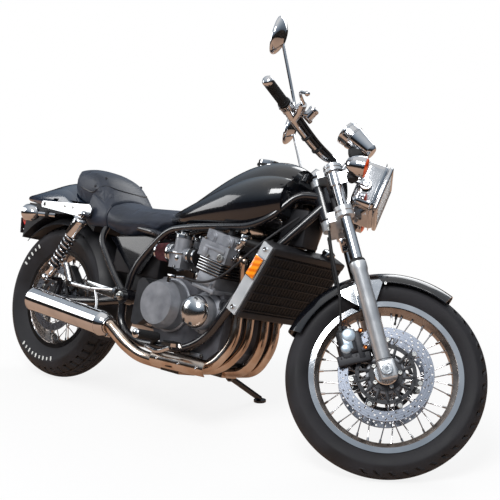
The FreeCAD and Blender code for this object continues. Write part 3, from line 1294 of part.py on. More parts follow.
def tyre_floor(axle, spin_axis, prefix, turn):
    """Height of a leaned tyre's lowest point: its crown is part of a ring with a round section."""
    half, drop = number(f"dims.{prefix}_tyre_half"), number(f"dims.{prefix}_crown_drop")
    crown = (half ** 2 + drop ** 2) / (2 * drop)
    ring = number(f"dims.{prefix}_tyre_radius") - crown
    centre = turn.multVec(axle)
    axis = turn.multVec(spin_axis)
    return centre.z - ring * math.sqrt(1 - axis.z ** 2) - crown


def parked_place():
    """Lean the machine, then pitch it by the small angle that puts both tyres on the ground."""
    steer = steer_turn()
    front_axle, front_spin = steer.multVec(FRONT_AXLE), steer.Rotation.multVec(Y_AXIS)

    def heights(pitch):
        turn = Rotation(Y_AXIS, pitch).multiply(lean_turn())
        return (tyre_floor(front_axle, front_spin, "front", turn),
                tyre_floor(REAR_AXLE, Y_AXIS, "rear", turn))

    low, high = -5.0, 5.0
    for _ in range(60):
        middle = (low + high) / 2
        front, rear = heights(middle)
        if front > rear:
            low = middle
        else:
            high = middle
    turn = Rotation(Y_AXIS, low).multiply(lean_turn())
    return Placement(Vector(0, 0, -heights(low)[1]), turn)


PARKED = parked_place()
UP = PARKED.Rotation.inverted().multVec(Z_AXIS)


def stand_foot_place():
    """Where the stand's foot meets the ground, in the upright machine's frame."""
    ahead, out = dims.stand_foot_ahead, dims.stand_foot_out
    ground = PARKED.inverse().multVec(Vector(0, 0, 0))
    up = (UP.dot(ground) - UP.x * ahead - UP.y * out) / UP.z
    return Vector(ahead, out, up)


STAND_FOOT = stand_foot_place()
STAND_DOWN = (STAND_FOOT - STAND_PIVOT).normalize()
STAND_FOLDED = Vector(-0.96, 0.05, -0.27).normalize()
STAND_AXIS = STAND_DOWN.cross(STAND_FOLDED).normalize()
STAND_FOLD_ANGLE = math.degrees(STAND_DOWN.getAngle(STAND_FOLDED))


def build_side_stand():
    """A leg that swings down and out beside the cradle, flat on the ground at its foot."""
    foot_top = STAND_FOOT + UP * dims.stand_foot_thickness
    eye = rod("stand_eye", "dims.stand_radius + 4", STAND_PIVOT - STAND_AXIS * 5.5,
              STAND_PIVOT - STAND_AXIS * 27)
    leg = rod("stand_leg", "dims.stand_radius", STAND_PIVOT - STAND_AXIS * 17.5,
              foot_top + UP * 4)
    foot = rod("stand_foot", "dims.stand_foot_radius", STAND_FOOT, foot_top)
    hole = rod("stand_hole", "dims.stand_bolt_radius + dims.bore_gap",
               STAND_PIVOT - STAND_AXIS * 60, STAND_PIVOT + STAND_AXIS * 40)
    joined = fused("stand_joined", [leg, eye, foot], refine=False)
    node("side_stand", "side_stand", [cut("stand_solid", joined, [hole])])


# ---------------------------------------------------------------------------------------------
# The whole machine
# ---------------------------------------------------------------------------------------------
def build_machine():
    build_wheels()
    sliders, clamps = build_fork()
    handlebar = build_bars()
    build_fork_trim(handlebar)
    build_front_fender(sliders)
    build_front_brakes(clamps)
    frame_room = build_frame()
    swingarm = build_swingarm()
    build_shocks()
    case, head = build_engine(frame_room)
    build_intake()
    exhaust = build_exhaust(case)
    build_cooling(case, head, exhaust)
    tank = build_tank(frame_room)
    pillion = build_seats(tank, frame_room)
    build_tail(pillion, frame_room, swingarm)
    build_side_panels(frame_room)
    build_foot_rests(frame_room)
    build_side_stand()
    doc.recompute()


def whole_box():
    box = FreeCAD.BoundBox()
    for whole, _ in nodes:
        box.add(whole.Shape.optimalBoundingBox(False))
    return box


def park_machine():
    """Give every sub-part its place, with the origin at the bottom centre of the whole box."""
    steered = PARKED.multiply(steer_turn())
    places = {"chassis": PARKED, "rear_wheel": PARKED, "side_stand": PARKED, "fork": steered,
              "front_wheel": steered}
    for whole, body in nodes:
        whole.Placement = places[body]
    doc.recompute()
    box = whole_box()
    shift = Vector(-(box.XMin + box.XMax) / 2, -(box.YMin + box.YMax) / 2, 0)
    for whole, body in nodes:
        place = places[body].copy()
        place.Base = place.Base + shift
        whole.Placement = place
    doc.recompute()
    return shift


def check_document():
    """Stop if any object failed, or any sub-part is empty or broken."""
    failed = [item.Name for item in doc.Objects
              if "Invalid" in item.State or "Error" in item.State]
    failed += [whole.Label for whole, _ in nodes
               if whole.Shape.isNull() or not whole.Shape.isValid() or not whole.Shape.Solids]
    if failed:
        raise RuntimeError(f"failed: {failed}")


def export_parts():
    os.makedirs("parts", exist_ok=True)
    for whole, _ in nodes:
        whole.Shape.exportStep(f"parts/{whole.Label}.step")


build_machine()
check_document()
ORIGIN_SHIFT = park_machine()
check_document()
export_parts()
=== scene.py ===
"""The looks of the cruiser motorcycle: finishes for its CAD pieces and the detail made around them.

Pieces are modelled as in the part's source: upright, steering straight ahead, X forward, Y to the
rider's left, Z up, in millimetres from the ground under the rear axle. piece() then leans, steers and
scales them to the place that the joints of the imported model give.
"""
import json
import math

import bmesh
import bpy
from mathutils import Matrix, Vector
from mathutils.bvhtree import BVHTree

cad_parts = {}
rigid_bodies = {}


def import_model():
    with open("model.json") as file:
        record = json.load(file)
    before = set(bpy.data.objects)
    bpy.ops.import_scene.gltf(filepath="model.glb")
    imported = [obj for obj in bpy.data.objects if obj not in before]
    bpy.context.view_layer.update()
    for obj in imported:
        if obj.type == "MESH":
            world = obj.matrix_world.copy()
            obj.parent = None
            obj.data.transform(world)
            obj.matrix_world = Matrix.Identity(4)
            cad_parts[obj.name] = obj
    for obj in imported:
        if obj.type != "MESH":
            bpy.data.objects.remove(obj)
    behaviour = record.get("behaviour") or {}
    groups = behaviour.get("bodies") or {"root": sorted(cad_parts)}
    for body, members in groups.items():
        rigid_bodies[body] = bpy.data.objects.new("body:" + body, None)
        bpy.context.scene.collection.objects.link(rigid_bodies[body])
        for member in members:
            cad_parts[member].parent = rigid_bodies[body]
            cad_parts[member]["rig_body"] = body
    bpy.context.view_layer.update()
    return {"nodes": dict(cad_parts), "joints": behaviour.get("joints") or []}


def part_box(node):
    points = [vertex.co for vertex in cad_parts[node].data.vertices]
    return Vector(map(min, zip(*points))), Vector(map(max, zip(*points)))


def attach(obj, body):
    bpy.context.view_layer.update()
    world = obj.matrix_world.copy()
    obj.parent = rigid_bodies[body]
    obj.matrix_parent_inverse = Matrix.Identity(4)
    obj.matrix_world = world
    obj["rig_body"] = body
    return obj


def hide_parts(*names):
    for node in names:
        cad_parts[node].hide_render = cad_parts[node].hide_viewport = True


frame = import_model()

MM = 0.001
X_AXIS, Y_AXIS, Z_AXIS = Vector((1, 0, 0)), Vector((0, 1, 0)), Vector((0, 0, 1))
# Both sides: by name, by the sign of Y alone, and with the way out.
SIDES = (("right", -1), ("left", 1))
SIGNS = (-1, 1)
SIDEWAYS = ((-1, -Y_AXIS), (1, Y_AXIS))

# ---- Sizes and places, in millimetres ----
REAR_AXLE = Vector((0, 0, 322))
FRONT_AXLE = Vector((1580, 0, 318.5))
CRANK = Vector((911, 0, 400))
PIVOT = Vector((517, 0, 396))
RAKE = math.radians(29.5)
STEER_ANGLE = math.radians(35)
STEER_UP = Vector((-math.sin(RAKE), 0, math.cos(RAKE)))
STEER_AHEAD = Vector((math.cos(RAKE), 0, math.sin(RAKE)))
RAKED = Matrix.Rotation(-RAKE, 3, "Y")
TILT = Matrix.Rotation(math.radians(10), 3, "Y")
STEM = -51.5


def upright_place():
    """The place of the upright machine's frame in the row frame, from the rear wheel's joint."""
    left = Vector(joints["rear_wheel_spin"]["axis"]).normalized()
    ahead = left.cross(Y_AXIS).normalized()
    up = ahead.cross(left)
    turn = Matrix((ahead, left, up)).transposed().to_4x4()
    centre = Vector(joints["rear_wheel_spin"]["pos_m"])
    return Matrix.Translation(centre) @ turn @ Matrix.Scale(MM, 4) @ Matrix.Translation(-REAR_AXLE)


def steered_place():
    """The same for what turns with the fork, which rests on its left stop."""
    centre = Vector(joints["steering"]["pos_m"])
    turn = Matrix.Rotation(STEER_ANGLE, 4, Vector(joints["steering"]["axis"]))
    return Matrix.Translation(centre) @ turn @ Matrix.Translation(-centre) @ upright_place()


joints = {joint["name"]: joint for joint in frame["joints"]}
UPRIGHT, STEERED = upright_place(), steered_place()
PLACES = {"chassis": UPRIGHT, "rear_wheel": UPRIGHT, "side_stand": UPRIGHT, "fork": STEERED,
          "front_wheel": STEERED}


def fork(up, side, ahead=0.0):
    """A point on the straight fork: distance up the leg from the axle, to the left, ahead."""
    return FRONT_AXLE + STEER_UP * up + Y_AXIS * side + STEER_AHEAD * ahead


def crank(ahead, side, up):
    """A point from the crankshaft's middle."""
    return CRANK + Vector((ahead, side, up))


def pivot(ahead, side, up):
    """A point from the swingarm's pivot."""
    return PIVOT + Vector((ahead, side, up))


def new_object(name, data):
    """An object of that data, in the scene."""
    made = bpy.data.objects.new(name, data)
    bpy.context.scene.collection.objects.link(made)
    return made


def object_of(name, bm):
    """An object of a finished bmesh, in the scene."""
    mesh = bpy.data.meshes.new(name)
    bm.to_mesh(mesh)
    bm.free()
    return new_object(name, mesh)


# ---- Materials ----
# Noise detail of broad patches and of fine grain, and the part of a noise that spreads over a span.
PATCH_DETAIL, GRAIN_DETAIL = 3.0, 2.0
NOISE_LOW, NOISE_HIGH = 0.25, 0.75
PATCH_LOW, PATCH_HIGH = 0.3, 0.7
# A wave texture's phase turns by this many radians over a unit of its scale.
WAVE_TURN = 20


def colour(code):
    """A linear colour from an sRGB hex value."""
    parts = [int(code[i:i + 2], 16) / 255 for i in (1, 3, 5)]
    return [c / 12.92 if c <= 0.04045 else ((c + 0.055) / 1.055) ** 2.4 for c in parts] + [1.0]


def add(tree, kind, links=None, **settings):
    """A node of that kind. Settings are sockets by name or properties; links feed its inputs."""
    made = tree.nodes.new("ShaderNode" + kind)
    for name, value in settings.items():
        label = name.replace("_", " ")
        socket = next((s for s in made.inputs if s.name.lower() == label.lower()), None)
        if socket is not None:
            socket.default_value = value
        else:
            setattr(made, name, value)
    for name, source in (links or {}).items():
        target = made.inputs[name] if isinstance(name, (str, int)) else name
        tree.links.new(source, target)
    return made


def shader_of(name, **sockets):
    """A new material: its tree, its principled shader and its object coordinates."""
    material = bpy.data.materials.new(name)
    material.use_nodes = True
    tree = material.node_tree
    shader = tree.nodes["Principled BSDF"]
    for socket, value in sockets.items():
        shader.inputs[socket.replace("_", " ")].default_value = value
    place = add(tree, "TexCoord").outputs["Object"]
    return material, tree, shader, place


def per_metre(size_mm):
    """A texture's scale for features of that size."""
    return 1.0 / (size_mm * MM)


def wave_scale(turn_mm):
    """A wave texture's scale for waves 2 pi times that length apart."""
    return per_metre(turn_mm) / WAVE_TURN


def noise(tree, place, size_mm, detail=PATCH_DETAIL):
    """Soft noise, 0 to 1, with features of that size."""
    texture = add(tree, "TexNoise", {"Vector": place}, Scale=per_metre(size_mm), Detail=detail)
    return texture.outputs["Fac"]


def cells(tree, place, size_mm):
    """Rounded cells of that size: the distance from the middle of each."""
    texture = add(tree, "TexVoronoi", {"Vector": place}, Scale=per_metre(size_mm))
    return texture.outputs["Distance"]


def ramp(tree, source, stops):
    """A colour ramp; stops are (place, hex colour)."""
    made = add(tree, "ValToRGB", {"Fac": source})
    while len(made.color_ramp.elements) < len(stops):
        made.color_ramp.elements.new(0.5)
    for element, (place, code) in zip(made.color_ramp.elements, stops):
        element.position = place
        element.color = colour(code)
    return made.outputs["Color"]


def spread(tree, source, low, high):
    """The source, a noise, mapped to a span of values."""
    made = add(tree, "MapRange", {"Value": source}, From_Min=NOISE_LOW, From_Max=NOISE_HIGH,
               To_Min=low, To_Max=high)
    return made.outputs["Result"]


def raise_surface(tree, shader, height, depth_mm):
    """Bump of that depth, from a height of 0 to 1."""
    bump = add(tree, "Bump", {"Height": height}, Strength=1.0, Distance=depth_mm * MM)
    tree.links.new(bump.outputs["Normal"], shader.inputs["Normal"])


def coat(tree, shader, source, stops, rough=None):
    """The colour, and the roughness where a span is given, follow the source."""
    tree.links.new(ramp(tree, source, stops), shader.inputs["Base Color"])
    if rough:
        tree.links.new(spread(tree, source, *rough), shader.inputs["Roughness"])


def finish(name, shades, rough, patch_mm, grain_mm, depth_mm, **sockets):
    """A finish whose colour and roughness drift in patches over a fine grain."""
    material, tree, shader, place = shader_of(name, **sockets)
    patches = noise(tree, place, patch_mm)
    grain = noise(tree, place, grain_mm, GRAIN_DETAIL)
    coat(tree, shader, patches, tuple(zip((PATCH_LOW, PATCH_HIGH), shades)), rough)
    raise_surface(tree, shader, grain, depth_mm)
    return material


def make_finishes():
    """Every plain finish by name. Columns: two shades, least and most roughness, size of the
    patches, size of the grain and its depth in millimetres, then the shader's other sockets."""
    return {
        # Nickel-chrome plate on steel: a mirror with faint polishing haze.
        "chrome": finish("nickel_chrome_plate", ("#BDBEC1", "#CFD0D2"), (0.035, 0.08), 60, 6, 0.01,
                         Metallic=1.0),
        # Buffed aluminium, as on the ignition cover and struts: a softer mirror than chrome.
        "polished": finish("buffed_aluminium", ("#B6B9BC", "#CACCCE"), (0.12, 0.22), 35, 1.5, 0.02,
                           Metallic=1.0),
        # Fork sliders: clear-lacquered turned aluminium with a satin face.
        "satin": finish("lacquered_aluminium", ("#B9BBBE", "#CDCFD1"), (0.3, 0.42), 40, 1.0, 0.03,
                        Metallic=0.72, Coat_Weight=0.35, Coat_Roughness=0.12),
        # Crankcase: the same paint as the covers, darkened with painted shade.
        "cast_with_painted_shade": finish("silver_casting_with_painted_shade", ("#4A4A4F", "#63646A"), (0.42, 0.55), 60, 1.3,
                             0.12, Metallic=0.45),
        # Radiator side plates: brushed sheet that scatters the light.
        "brushed": finish("brushed_sheet", ("#C4C7CA", "#D8DADC"), (0.34, 0.46), 60, 1.0, 0.03,
                          Metallic=0.6),
        # Sand-cast aluminium under silver-grey paint: matt, with the mould's fine grain.
        "cast": finish("silver_painted_casting", ("#77797F", "#94969B"), (0.38, 0.5), 45, 1.1, 0.12,
                       Metallic=0.55),
        "cast_dark": finish("dark_painted_casting", ("#1C1D21", "#2B2C31"), (0.4, 0.55), 40, 1.2, 0.12,
                            Metallic=0.3),
        "steel": finish("zinc_plated_steel", ("#8F908F", "#ADADAA"), (0.22, 0.34), 18, 0.9, 0.02,
                        Metallic=1.0),
        # Gloss black lacquer: deep colour under a clear coat with a trace of orange peel.
        "lacquer": finish("black_lacquer", ("#06070B", "#0B0D13"), (0.16, 0.24), 300, 9, 0.02,
                          Coat_Weight=1.0, Coat_Roughness=0.03, Specular_IOR_Level=0.2),
        # The tail's lacquer lies thinner and looks blue-black.
        "tail_lacquer": finish("blue_black_lacquer", ("#1B2635", "#253246"), (0.2, 0.3), 220, 9, 0.02,
                               Coat_Weight=0.9, Coat_Roughness=0.05),
        # Frame tubes: baked enamel, less deep than the tank.
        "enamel": finish("baked_black_enamel", ("#0E0E12", "#17171C"), (0.2, 0.32), 70, 5, 0.03,
                         Coat_Weight=0.7, Coat_Roughness=0.08),
        "plastic": finish("moulded_black_plastic", ("#141417", "#1F1F23"), (0.45, 0.6), 50, 0.8, 0.1,
                          Specular_IOR_Level=0.4),
        "grip_rubber": finish("moulded_rubber", ("#101011", "#1B1B1D"), (0.55, 0.75), 30, 0.7, 0.08,
                              Specular_IOR_Level=0.35),
        "white_rubber": finish("white_sidewall_rubber", ("#C9C9C4", "#E4E4E0"), (0.6, 0.75), 12, 0.8,
                               0.06),
        "brass_bolt": finish("gold_passivated_steel", ("#A8572B", "#D98A4B"), (0.2, 0.32), 6, 0.6,
                             0.03, Metallic=1.0),
        "piston_grey": finish("grey_anodised_housing", ("#98A6B2", "#B4C0CA"), (0.3, 0.42), 20, 0.8,
                              0.06, Metallic=0.6),
        "radiator_black": finish("matt_black_radiator_paint", ("#0D0D10", "#1A1A1D"), (0.5, 0.7), 30,
                                 0.8, 0.1),
        "dial_paper": finish("printed_dial", ("#0B0B0D", "#121215"), (0.5, 0.6), 20, 1, 0.01),
        "print_white": finish("dial_print", ("#D8D8D2", "#EDEDE8"), (0.5, 0.6), 10, 1, 0.01),
        "mirror_glass": finish("silvered_mirror_glass", ("#C6CCD2", "#D3D8DC"), (0.015, 0.03), 80,
                               20, 0.002, Metallic=1.0, Coat_Weight=1.0),
        # Rim wells: plate duller, browner and darker than the chrome rim round it.
        "well_plate": finish("dull_brown_well_plate", ("#857B75", "#A29890"), (0.18, 0.32), 25, 2, 0.03,
                             Metallic=0.9),
        "piping_vinyl": finish("glossy_piping_vinyl", ("#0A0A0D", "#121216"), (0.25, 0.35), 20, 2,
                               0.03, Coat_Weight=0.3),
        # Exhaust bore: soot over bare steel, near black, which also paints the shade deep in the bore.
        "soot_and_painted_shade": finish("sooty_steel_with_painted_shade", ("#0B0A0A", "#1A1714"), (0.7, 0.85), 12, 1.0, 0.15),
    }


finishes = make_finishes()


def heated_chrome():
    """Header pipes: chrome that heat has turned straw and brown, in drifting patches."""
    material, tree, shader, place = shader_of("heat_tinted_chrome", Metallic=1.0)
    tints = ((0.25, "#9B8474"), (0.5, "#BFAE9F"), (0.75, "#D2CCC5"))
    coat(tree, shader, noise(tree, place, 70), tints, (0.1, 0.2))
    raise_surface(tree, shader, noise(tree, place, 4), 0.02)
    return material


def tyre_rubber():
    """Black tyre rubber: greyer where dust lies, with a fine grain."""
    material, tree, shader, place = shader_of("tyre_rubber", Specular_IOR_Level=0.35)
    dust = noise(tree, place, 90, 6.0)
    coat(tree, shader, dust, ((0.3, "#161619"), (0.7, "#27262A")), (0.55, 0.8))
    raise_surface(tree, shader, noise(tree, place, 1.2), 0.15)
    return material


def seat_vinyl():
    """Black seat vinyl: pebble grain about 1.5 mm across under a soft blue-grey sheen."""
    material, tree, shader, place = shader_of("seat_vinyl", Specular_IOR_Level=0.45,
                                              Sheen_Weight=0.25, Sheen_Roughness=0.4)
    shader.inputs["Sheen Tint"].default_value = colour("#8FA0B8")
    wear = noise(tree, place, 120, 5.0)
    coat(tree, shader, wear, ((0.3, "#171B24"), (0.7, "#252B38")), (0.36, 0.5))
    raise_surface(tree, shader, cells(tree, place, 1.6), 0.18)
    return material


def ground_steel(name, axle, body):
    """Brake discs: stainless steel ground in faint rings about the axle, 7.5 mm apart."""
    material, tree, shader, place = shader_of(name, Metallic=1.0)
    mapping = add(tree, "Mapping", {"Vector": place}, vector_type="TEXTURE")
    mapping.inputs["Location"].default_value = PLACES[body] @ axle
    mapping.inputs["Rotation"].default_value = PLACES[body].to_3x3().normalized().to_euler()
    rings = add(tree, "TexWave", {"Vector": mapping.outputs["Vector"]}, wave_type="RINGS",
                rings_direction="Y", Scale=wave_scale(1.2), Distortion=0.6).outputs["Fac"]
    coat(tree, shader, rings, ((0.2, "#767B85"), (0.8, "#7F848E")), (0.3, 0.36))
    return material


def lens(name, deep, bright, turn_mm, **sockets):
    """A moulded lens: broad ribs inside clear coloured plastic, painted lighter on the ribs and darker
    between them as painted highlight and shade.
    """
    material, tree, shader, place = shader_of(name, Roughness=0.08, IOR=1.49, Coat_Weight=1.0,
                                              Coat_Roughness=0.03, **sockets)
    ribs = add(tree, "TexWave", {"Vector": place}, bands_direction="Z",
               Scale=wave_scale(turn_mm)).outputs["Fac"]
    # Painted highlight on the ribs and painted shade in the grooves between them.
    coat(tree, shader, ribs, ((0.1, deep), (0.9, bright)))
    raise_surface(tree, shader, ribs, 0.4)
    return material


def filter_gauze():
    """Oiled cotton gauze in the filters: dark red, under a mesh of 2 mm cells."""
    material, tree, shader, place = shader_of("oiled_filter_gauze", Roughness=0.8)
    coat(tree, shader, noise(tree, place, 14), ((0.3, "#3A1519"), (0.7, "#632A30")))
    raise_surface(tree, shader, cells(tree, place, 2.0), 0.3)
    return material


finishes.update({
    "headers": heated_chrome(),
    "tyre": tyre_rubber(),
    "vinyl": seat_vinyl(),
    "front_disc_steel": ground_steel("front_disc_steel", FRONT_AXLE, "front_wheel"),
    "rear_disc_steel": ground_steel("rear_disc_steel", REAR_AXLE, "rear_wheel"),
    "red_lens": lens("red_lens", "#7A0A10", "#C01420", 5.0, Subsurface_Weight=0.1),
    "amber_lens": lens("orange_lens", "#C8390E", "#F25A1C", 4.0, Subsurface_Weight=0.1),
    "reflector": lens("amber_reflector", "#E06A08", "#FF9A1E", 3.0, Subsurface_Weight=0.1),
    "clear_lens": lens("clear_ribbed_glass", "#F4F7F8", "#FFFFFF", 6.0, Transmission_Weight=1.0),
    "gauze": filter_gauze(),
})

# The CAD's pieces by finish, with those that a piece of this script replaces.
NODE_FINISHES = {
    "chrome": ("front_rim", "rear_rim", "fork_tubes", "front_axle", "handlebar", "hand_controls",
               "mirrors", "headlamp", "speedometer", "front_turn_signals", "horn", "rear_axle",
               "rear_shocks", "mufflers", "fuel_cap", "rear_turn_signals", "pillion_pegs",
               "foot_controls"),
    "satin": ("fork_sliders", "triple_clamps"),
    "polished": ("fender_struts", "ignition_cover"),
    "brushed": ("radiator_covers",),
    "cast": ("cylinder_block", "cylinder_head", "clutch_cover", "left_engine_covers",
             "carburetors"),
    # The crankcase's finish is the covers' paint darkened with painted shade.
    "cast_with_painted_shade": ("crankcase",),
    "cast_dark": ("front_hub", "rear_hub", "front_calipers", "rear_caliper", "gearbox_cover"),
    "lacquer": ("fuel_tank", "side_panels", "front_fender"),
    "tail_lacquer": ("tail_cowl",),
    "enamel": ("frame", "swingarm", "side_stand"),
    "plastic": ("rear_fender",),
    "grip_rubber": ("grips", "rider_pegs", "coolant_hoses", "brake_hoses"),
    "radiator_black": ("radiator",),
    "headers": ("exhaust_headers",),
    "tyre": ("front_tyre", "rear_tyre"),
    "vinyl": ("rider_seat", "pillion_seat"),
    "front_disc_steel": ("front_discs",),
    "rear_disc_steel": ("rear_disc",),
    "gauze": ("air_filters",),
    "red_lens": ("tail_lamp",),
}


def finish_nodes():
    """Give the CAD's pieces their finishes."""
    for name, nodes in NODE_FINISHES.items():
        for label in nodes:
            slots = frame["nodes"][label].data.materials
            slots.clear()
            slots.append(finishes[name])


finish_nodes()


# ---- Camera, floor and light ----
# The camera on the upright machine: its place in millimetres and the ways right, down and ahead of
# it; its sensor and lens in millimetres and the lens's shift.
CAMERA_EYE = Vector((3214.95, -2641.46, 515.24))
CAMERA_RIGHT = Vector((0.74787, 0.63708, 0.18661))
CAMERA_DOWN = Vector((0.12587, 0.13992, -0.98213))
CAMERA_AHEAD = Vector((-0.65180, 0.75799, 0.02446))
SENSOR_WIDTH, LENS_LENGTH = 36.0, 70.0
LENS_SHIFT = (0.0034, 0.0265)


def make_camera():
    """The viewer stands ahead of the machine on its right, at the height of its seat."""
    data = bpy.data.cameras.new("camera")
    data.sensor_width = SENSOR_WIDTH
    data.lens = LENS_LENGTH
    data.shift_x, data.shift_y = LENS_SHIFT
    camera = new_object("camera", data)
    turn = UPRIGHT.to_3x3().normalized()
    axes = Matrix((turn @ CAMERA_RIGHT, turn @ -CAMERA_DOWN, turn @ -CAMERA_AHEAD)).transposed()
    camera.matrix_world = Matrix.Translation(UPRIGHT @ CAMERA_EYE) @ axes.to_4x4()
    bpy.context.scene.camera = camera


def seen_white(tree, lit, white):
    """The lit shader, mixed towards plain white for what the camera, metal and glass see."""
    path = add(tree, "LightPath").outputs
    either = add(tree, "Math", {0: path["Is Camera Ray"], 1: path["Is Glossy Ray"]},
                 operation="MAXIMUM").outputs[0]
    seen = add(tree, "Math", {0: either, 1: path["Is Transmission Ray"]},
               operation="MAXIMUM").outputs[0]
    return add(tree, "MixShader", {0: seen, 1: lit, 2: white}).outputs[0]


# The floor's half width, and where the shade it shows begins and ends to turn white, in metres,
# with how white it is at the beginning.
FLOOR_HALF = 40.0
WHITE_FROM, WHITE_TO = 1.2, 2.6
WHITE_LEAST = 0.84


def make_floor():
    """A pale floor that takes shadows and shows plain white away from the machine."""
    bm = bmesh.new()
    bmesh.ops.create_grid(bm, x_segments=1, y_segments=1, size=FLOOR_HALF)
    floor = object_of("floor", bm)
    material, tree, shader, place = shader_of("pale_studio_floor", Roughness=0.9)
    shader.inputs["Base Color"].default_value = colour("#EDEDED")
    glow = add(tree, "Emission", Strength=1.0, Color=colour("#FFFFFF")).outputs[0]
    far = add(tree, "VectorMath", {"Vector": place}, operation="LENGTH").outputs["Value"]
    share = add(tree, "MapRange", {"Value": far}, interpolation_type="SMOOTHSTEP",
                From_Min=WHITE_FROM, From_Max=WHITE_TO, To_Min=WHITE_LEAST).outputs["Result"]
    half = add(tree, "MixShader", {0: share, 1: shader.outputs[0], 2: glow}).outputs[0]
    tree.links.new(seen_white(tree, shader.outputs[0], half),
                   tree.nodes["Material Output"].inputs["Surface"])
    floor.data.materials.append(material)


# The reflection cards, in metres: the dark ring's radii at its foot and its top; the dome's radii,
# its lower and upper edges and its shades between them; the brown sheet's radius and height.
DARK_RADII = (7.0, 8.0)
SKY_RADII = (8.0, 3.6)
SKY_LOW, SKY_HIGH = 2.6, 8.0
SHEET_RADIUS, SHEET_HEIGHT = 7.0, 0.001
CARD_STEPS = 64
SKY_STOPS = ((0.0, "#4A535E"), (0.22, "#8794A2"), (0.55, "#C9D2DB"), (1.0, "#F4F6F9"))


def make_world():
    """Soft light from all round, and plain white where it is seen."""
    world = bpy.data.worlds.new("studio")
    bpy.context.scene.world = world
    world.use_nodes = True
    tree = world.node_tree
    soft = add(tree, "Background", Strength=0.5, Color=colour("#F2F5FA")).outputs[0]
    white = add(tree, "Background", Strength=1.0, Color=colour("#FFFFFF")).outputs[0]
    tree.links.new(seen_white(tree, soft, white), tree.nodes["World Output"].inputs["Surface"])


def reflection_card(name, bm, shade_of):
    """A card round or under the studio that only reflections see. shade_of(tree, shader, place)
    sets what it looks like."""
    card = object_of(name, bm)
    material, tree, shader, place = shader_of(f"{name}_paint", Roughness=1.0)
    shade_of(tree, shader, place)
    card.data.materials.append(material)
    card.visible_camera = False
    card.visible_diffuse = False
    card.visible_shadow = False
    card.visible_transmission = False


def ring(radii, low, high):
    """An open wall round the studio: its radii at the foot and the top, and its two heights."""
    bm = bmesh.new()
    bmesh.ops.create_cone(bm, cap_ends=False, segments=CARD_STEPS, radius1=radii[0],
                          radius2=radii[1], depth=high - low,
                          matrix=Matrix.Translation((0, 0, (low + high) / 2)))
    return bm


def make_dark_card():
    """A dark ring at the horizon: it gives chrome its dark band and keeps black paint black."""
    def shade(tree, shader, place):
        coat(tree, shader, noise(tree, place, 1500), ((0.35, "#15110F"), (0.65, "#4A4038")))
    reflection_card("dark_card", ring(DARK_RADII, 0.0, SKY_LOW), shade)


def make_sky_card():
    """A dome above the dark ring, blue-grey low down and paler high up, so that bright metal stays
    off white and black paint looks deep."""
    def shade(tree, shader, place):
        shader.inputs["Base Color"].default_value = colour("#000000")
        height = add(tree, "SeparateXYZ", {"Vector": place}).outputs["Z"]
        share = add(tree, "MapRange", {"Value": height}, From_Min=SKY_LOW, From_Max=SKY_HIGH)
        tree.links.new(ramp(tree, share.outputs["Result"], SKY_STOPS),
                       shader.inputs["Emission Color"])
        shader.inputs["Emission Strength"].default_value = 1.0
    reflection_card("sky_card", ring(SKY_RADII, SKY_LOW, SKY_HIGH), shade)


def make_brown_card():
    """A warm brown sheet just over the floor: it gives the lower half of round chrome its tan
    colour."""
    def shade(tree, shader, place):
        shader.inputs["Base Color"].default_value = colour("#A6866F")
        shader.inputs["Emission Color"].default_value = colour("#B89A86")
        shader.inputs["Emission Strength"].default_value = 0.4
    bm = bmesh.new()
    bmesh.ops.create_circle(bm, cap_ends=True, segments=CARD_STEPS, radius=SHEET_RADIUS,
                            matrix=Matrix.Translation((0, 0, SHEET_HEIGHT)))
    reflection_card("brown_card", bm, shade)


# What the lamps point at, and the lamps. Columns: name, place, size, power.
LAMP_AIM = Vector((0, 0, 0.5))
LAMPS = (("key", (1.6, -3.2, 4.6), 2.0, 200), ("fill", (-3.8, -2.2, 2.4), 2.0, 50),
         ("back", (-0.5, 3.8, 3.4), 2.6, 80))


def make_lamps():
    """A key lamp high ahead on the right, a weaker fill behind on the right, one on the left."""
    for name, place, size, power in LAMPS:
        data = bpy.data.lights.new(name, "AREA")
        data.size = size
        data.energy = power
        lamp = new_object(name, data)
        lamp.location = place
        lamp.rotation_euler = (LAMP_AIM - Vector(place)).to_track_quat("-Z", "Y").to_euler()


# ---- Ways of shaping a piece ----
def turned_to(axis):
    """A turn that puts Z on the axis."""
    return axis.to_track_quat("Z", "Y").to_matrix().to_4x4()


def bar(bm, start, end, radius, end_radius=None, sides=24):
    """A round bar or taper between two points."""
    last = radius if end_radius is None else end_radius
    place = Matrix.Translation((start + end) / 2) @ turned_to(end - start)
    return bmesh.ops.create_cone(bm, cap_ends=True, segments=sides, radius1=radius, radius2=last,
                                 depth=(end - start).length, matrix=place)["verts"]


def globe(bm, centre, radius, squash=(1, 1, 1), steps=20):
    """A ball, squashed along the axes."""
    place = Matrix.Translation(centre) @ Matrix.Diagonal((*squash, 1))
    return bmesh.ops.create_uvsphere(bm, u_segments=steps, v_segments=steps // 2, radius=radius,
                                     matrix=place)["verts"]


def slab(bm, centre, size, turn=None, edge=1.0, segments=2):
    """A block with rounded edges."""
    place = Matrix.Translation(centre) @ (turn or Matrix.Identity(3)).to_4x4()
    verts = bmesh.ops.create_cube(bm, size=1, matrix=place @ Matrix.Diagonal((*size, 1)))["verts"]
    edges = list(dict.fromkeys(e for v in verts for e in v.link_edges))
    if edge:
        bmesh.ops.bevel(bm, geom=edges, offset=edge, segments=segments, profile=0.5,
                        affect="EDGES", material=-1)


def blocks(bm, at, turn, rows, signs=(1,)):
    """Blocks, on both sides where both signs are given. Columns: the place as at() takes it, the
    size ahead, across and up, the edge and its segments."""
    for sign in signs:
        for (first, side, last), size, *edge in rows:
            slab(bm, at(first, sign * side, last), size, turn, *edge)


def spot(ahead, side, up):
    """A point of the upright machine, or a step or a way from one."""
    return Vector((ahead, side, up))


def meshes(count):
    """That many empty meshes."""
    return [bmesh.new() for _ in range(count)]


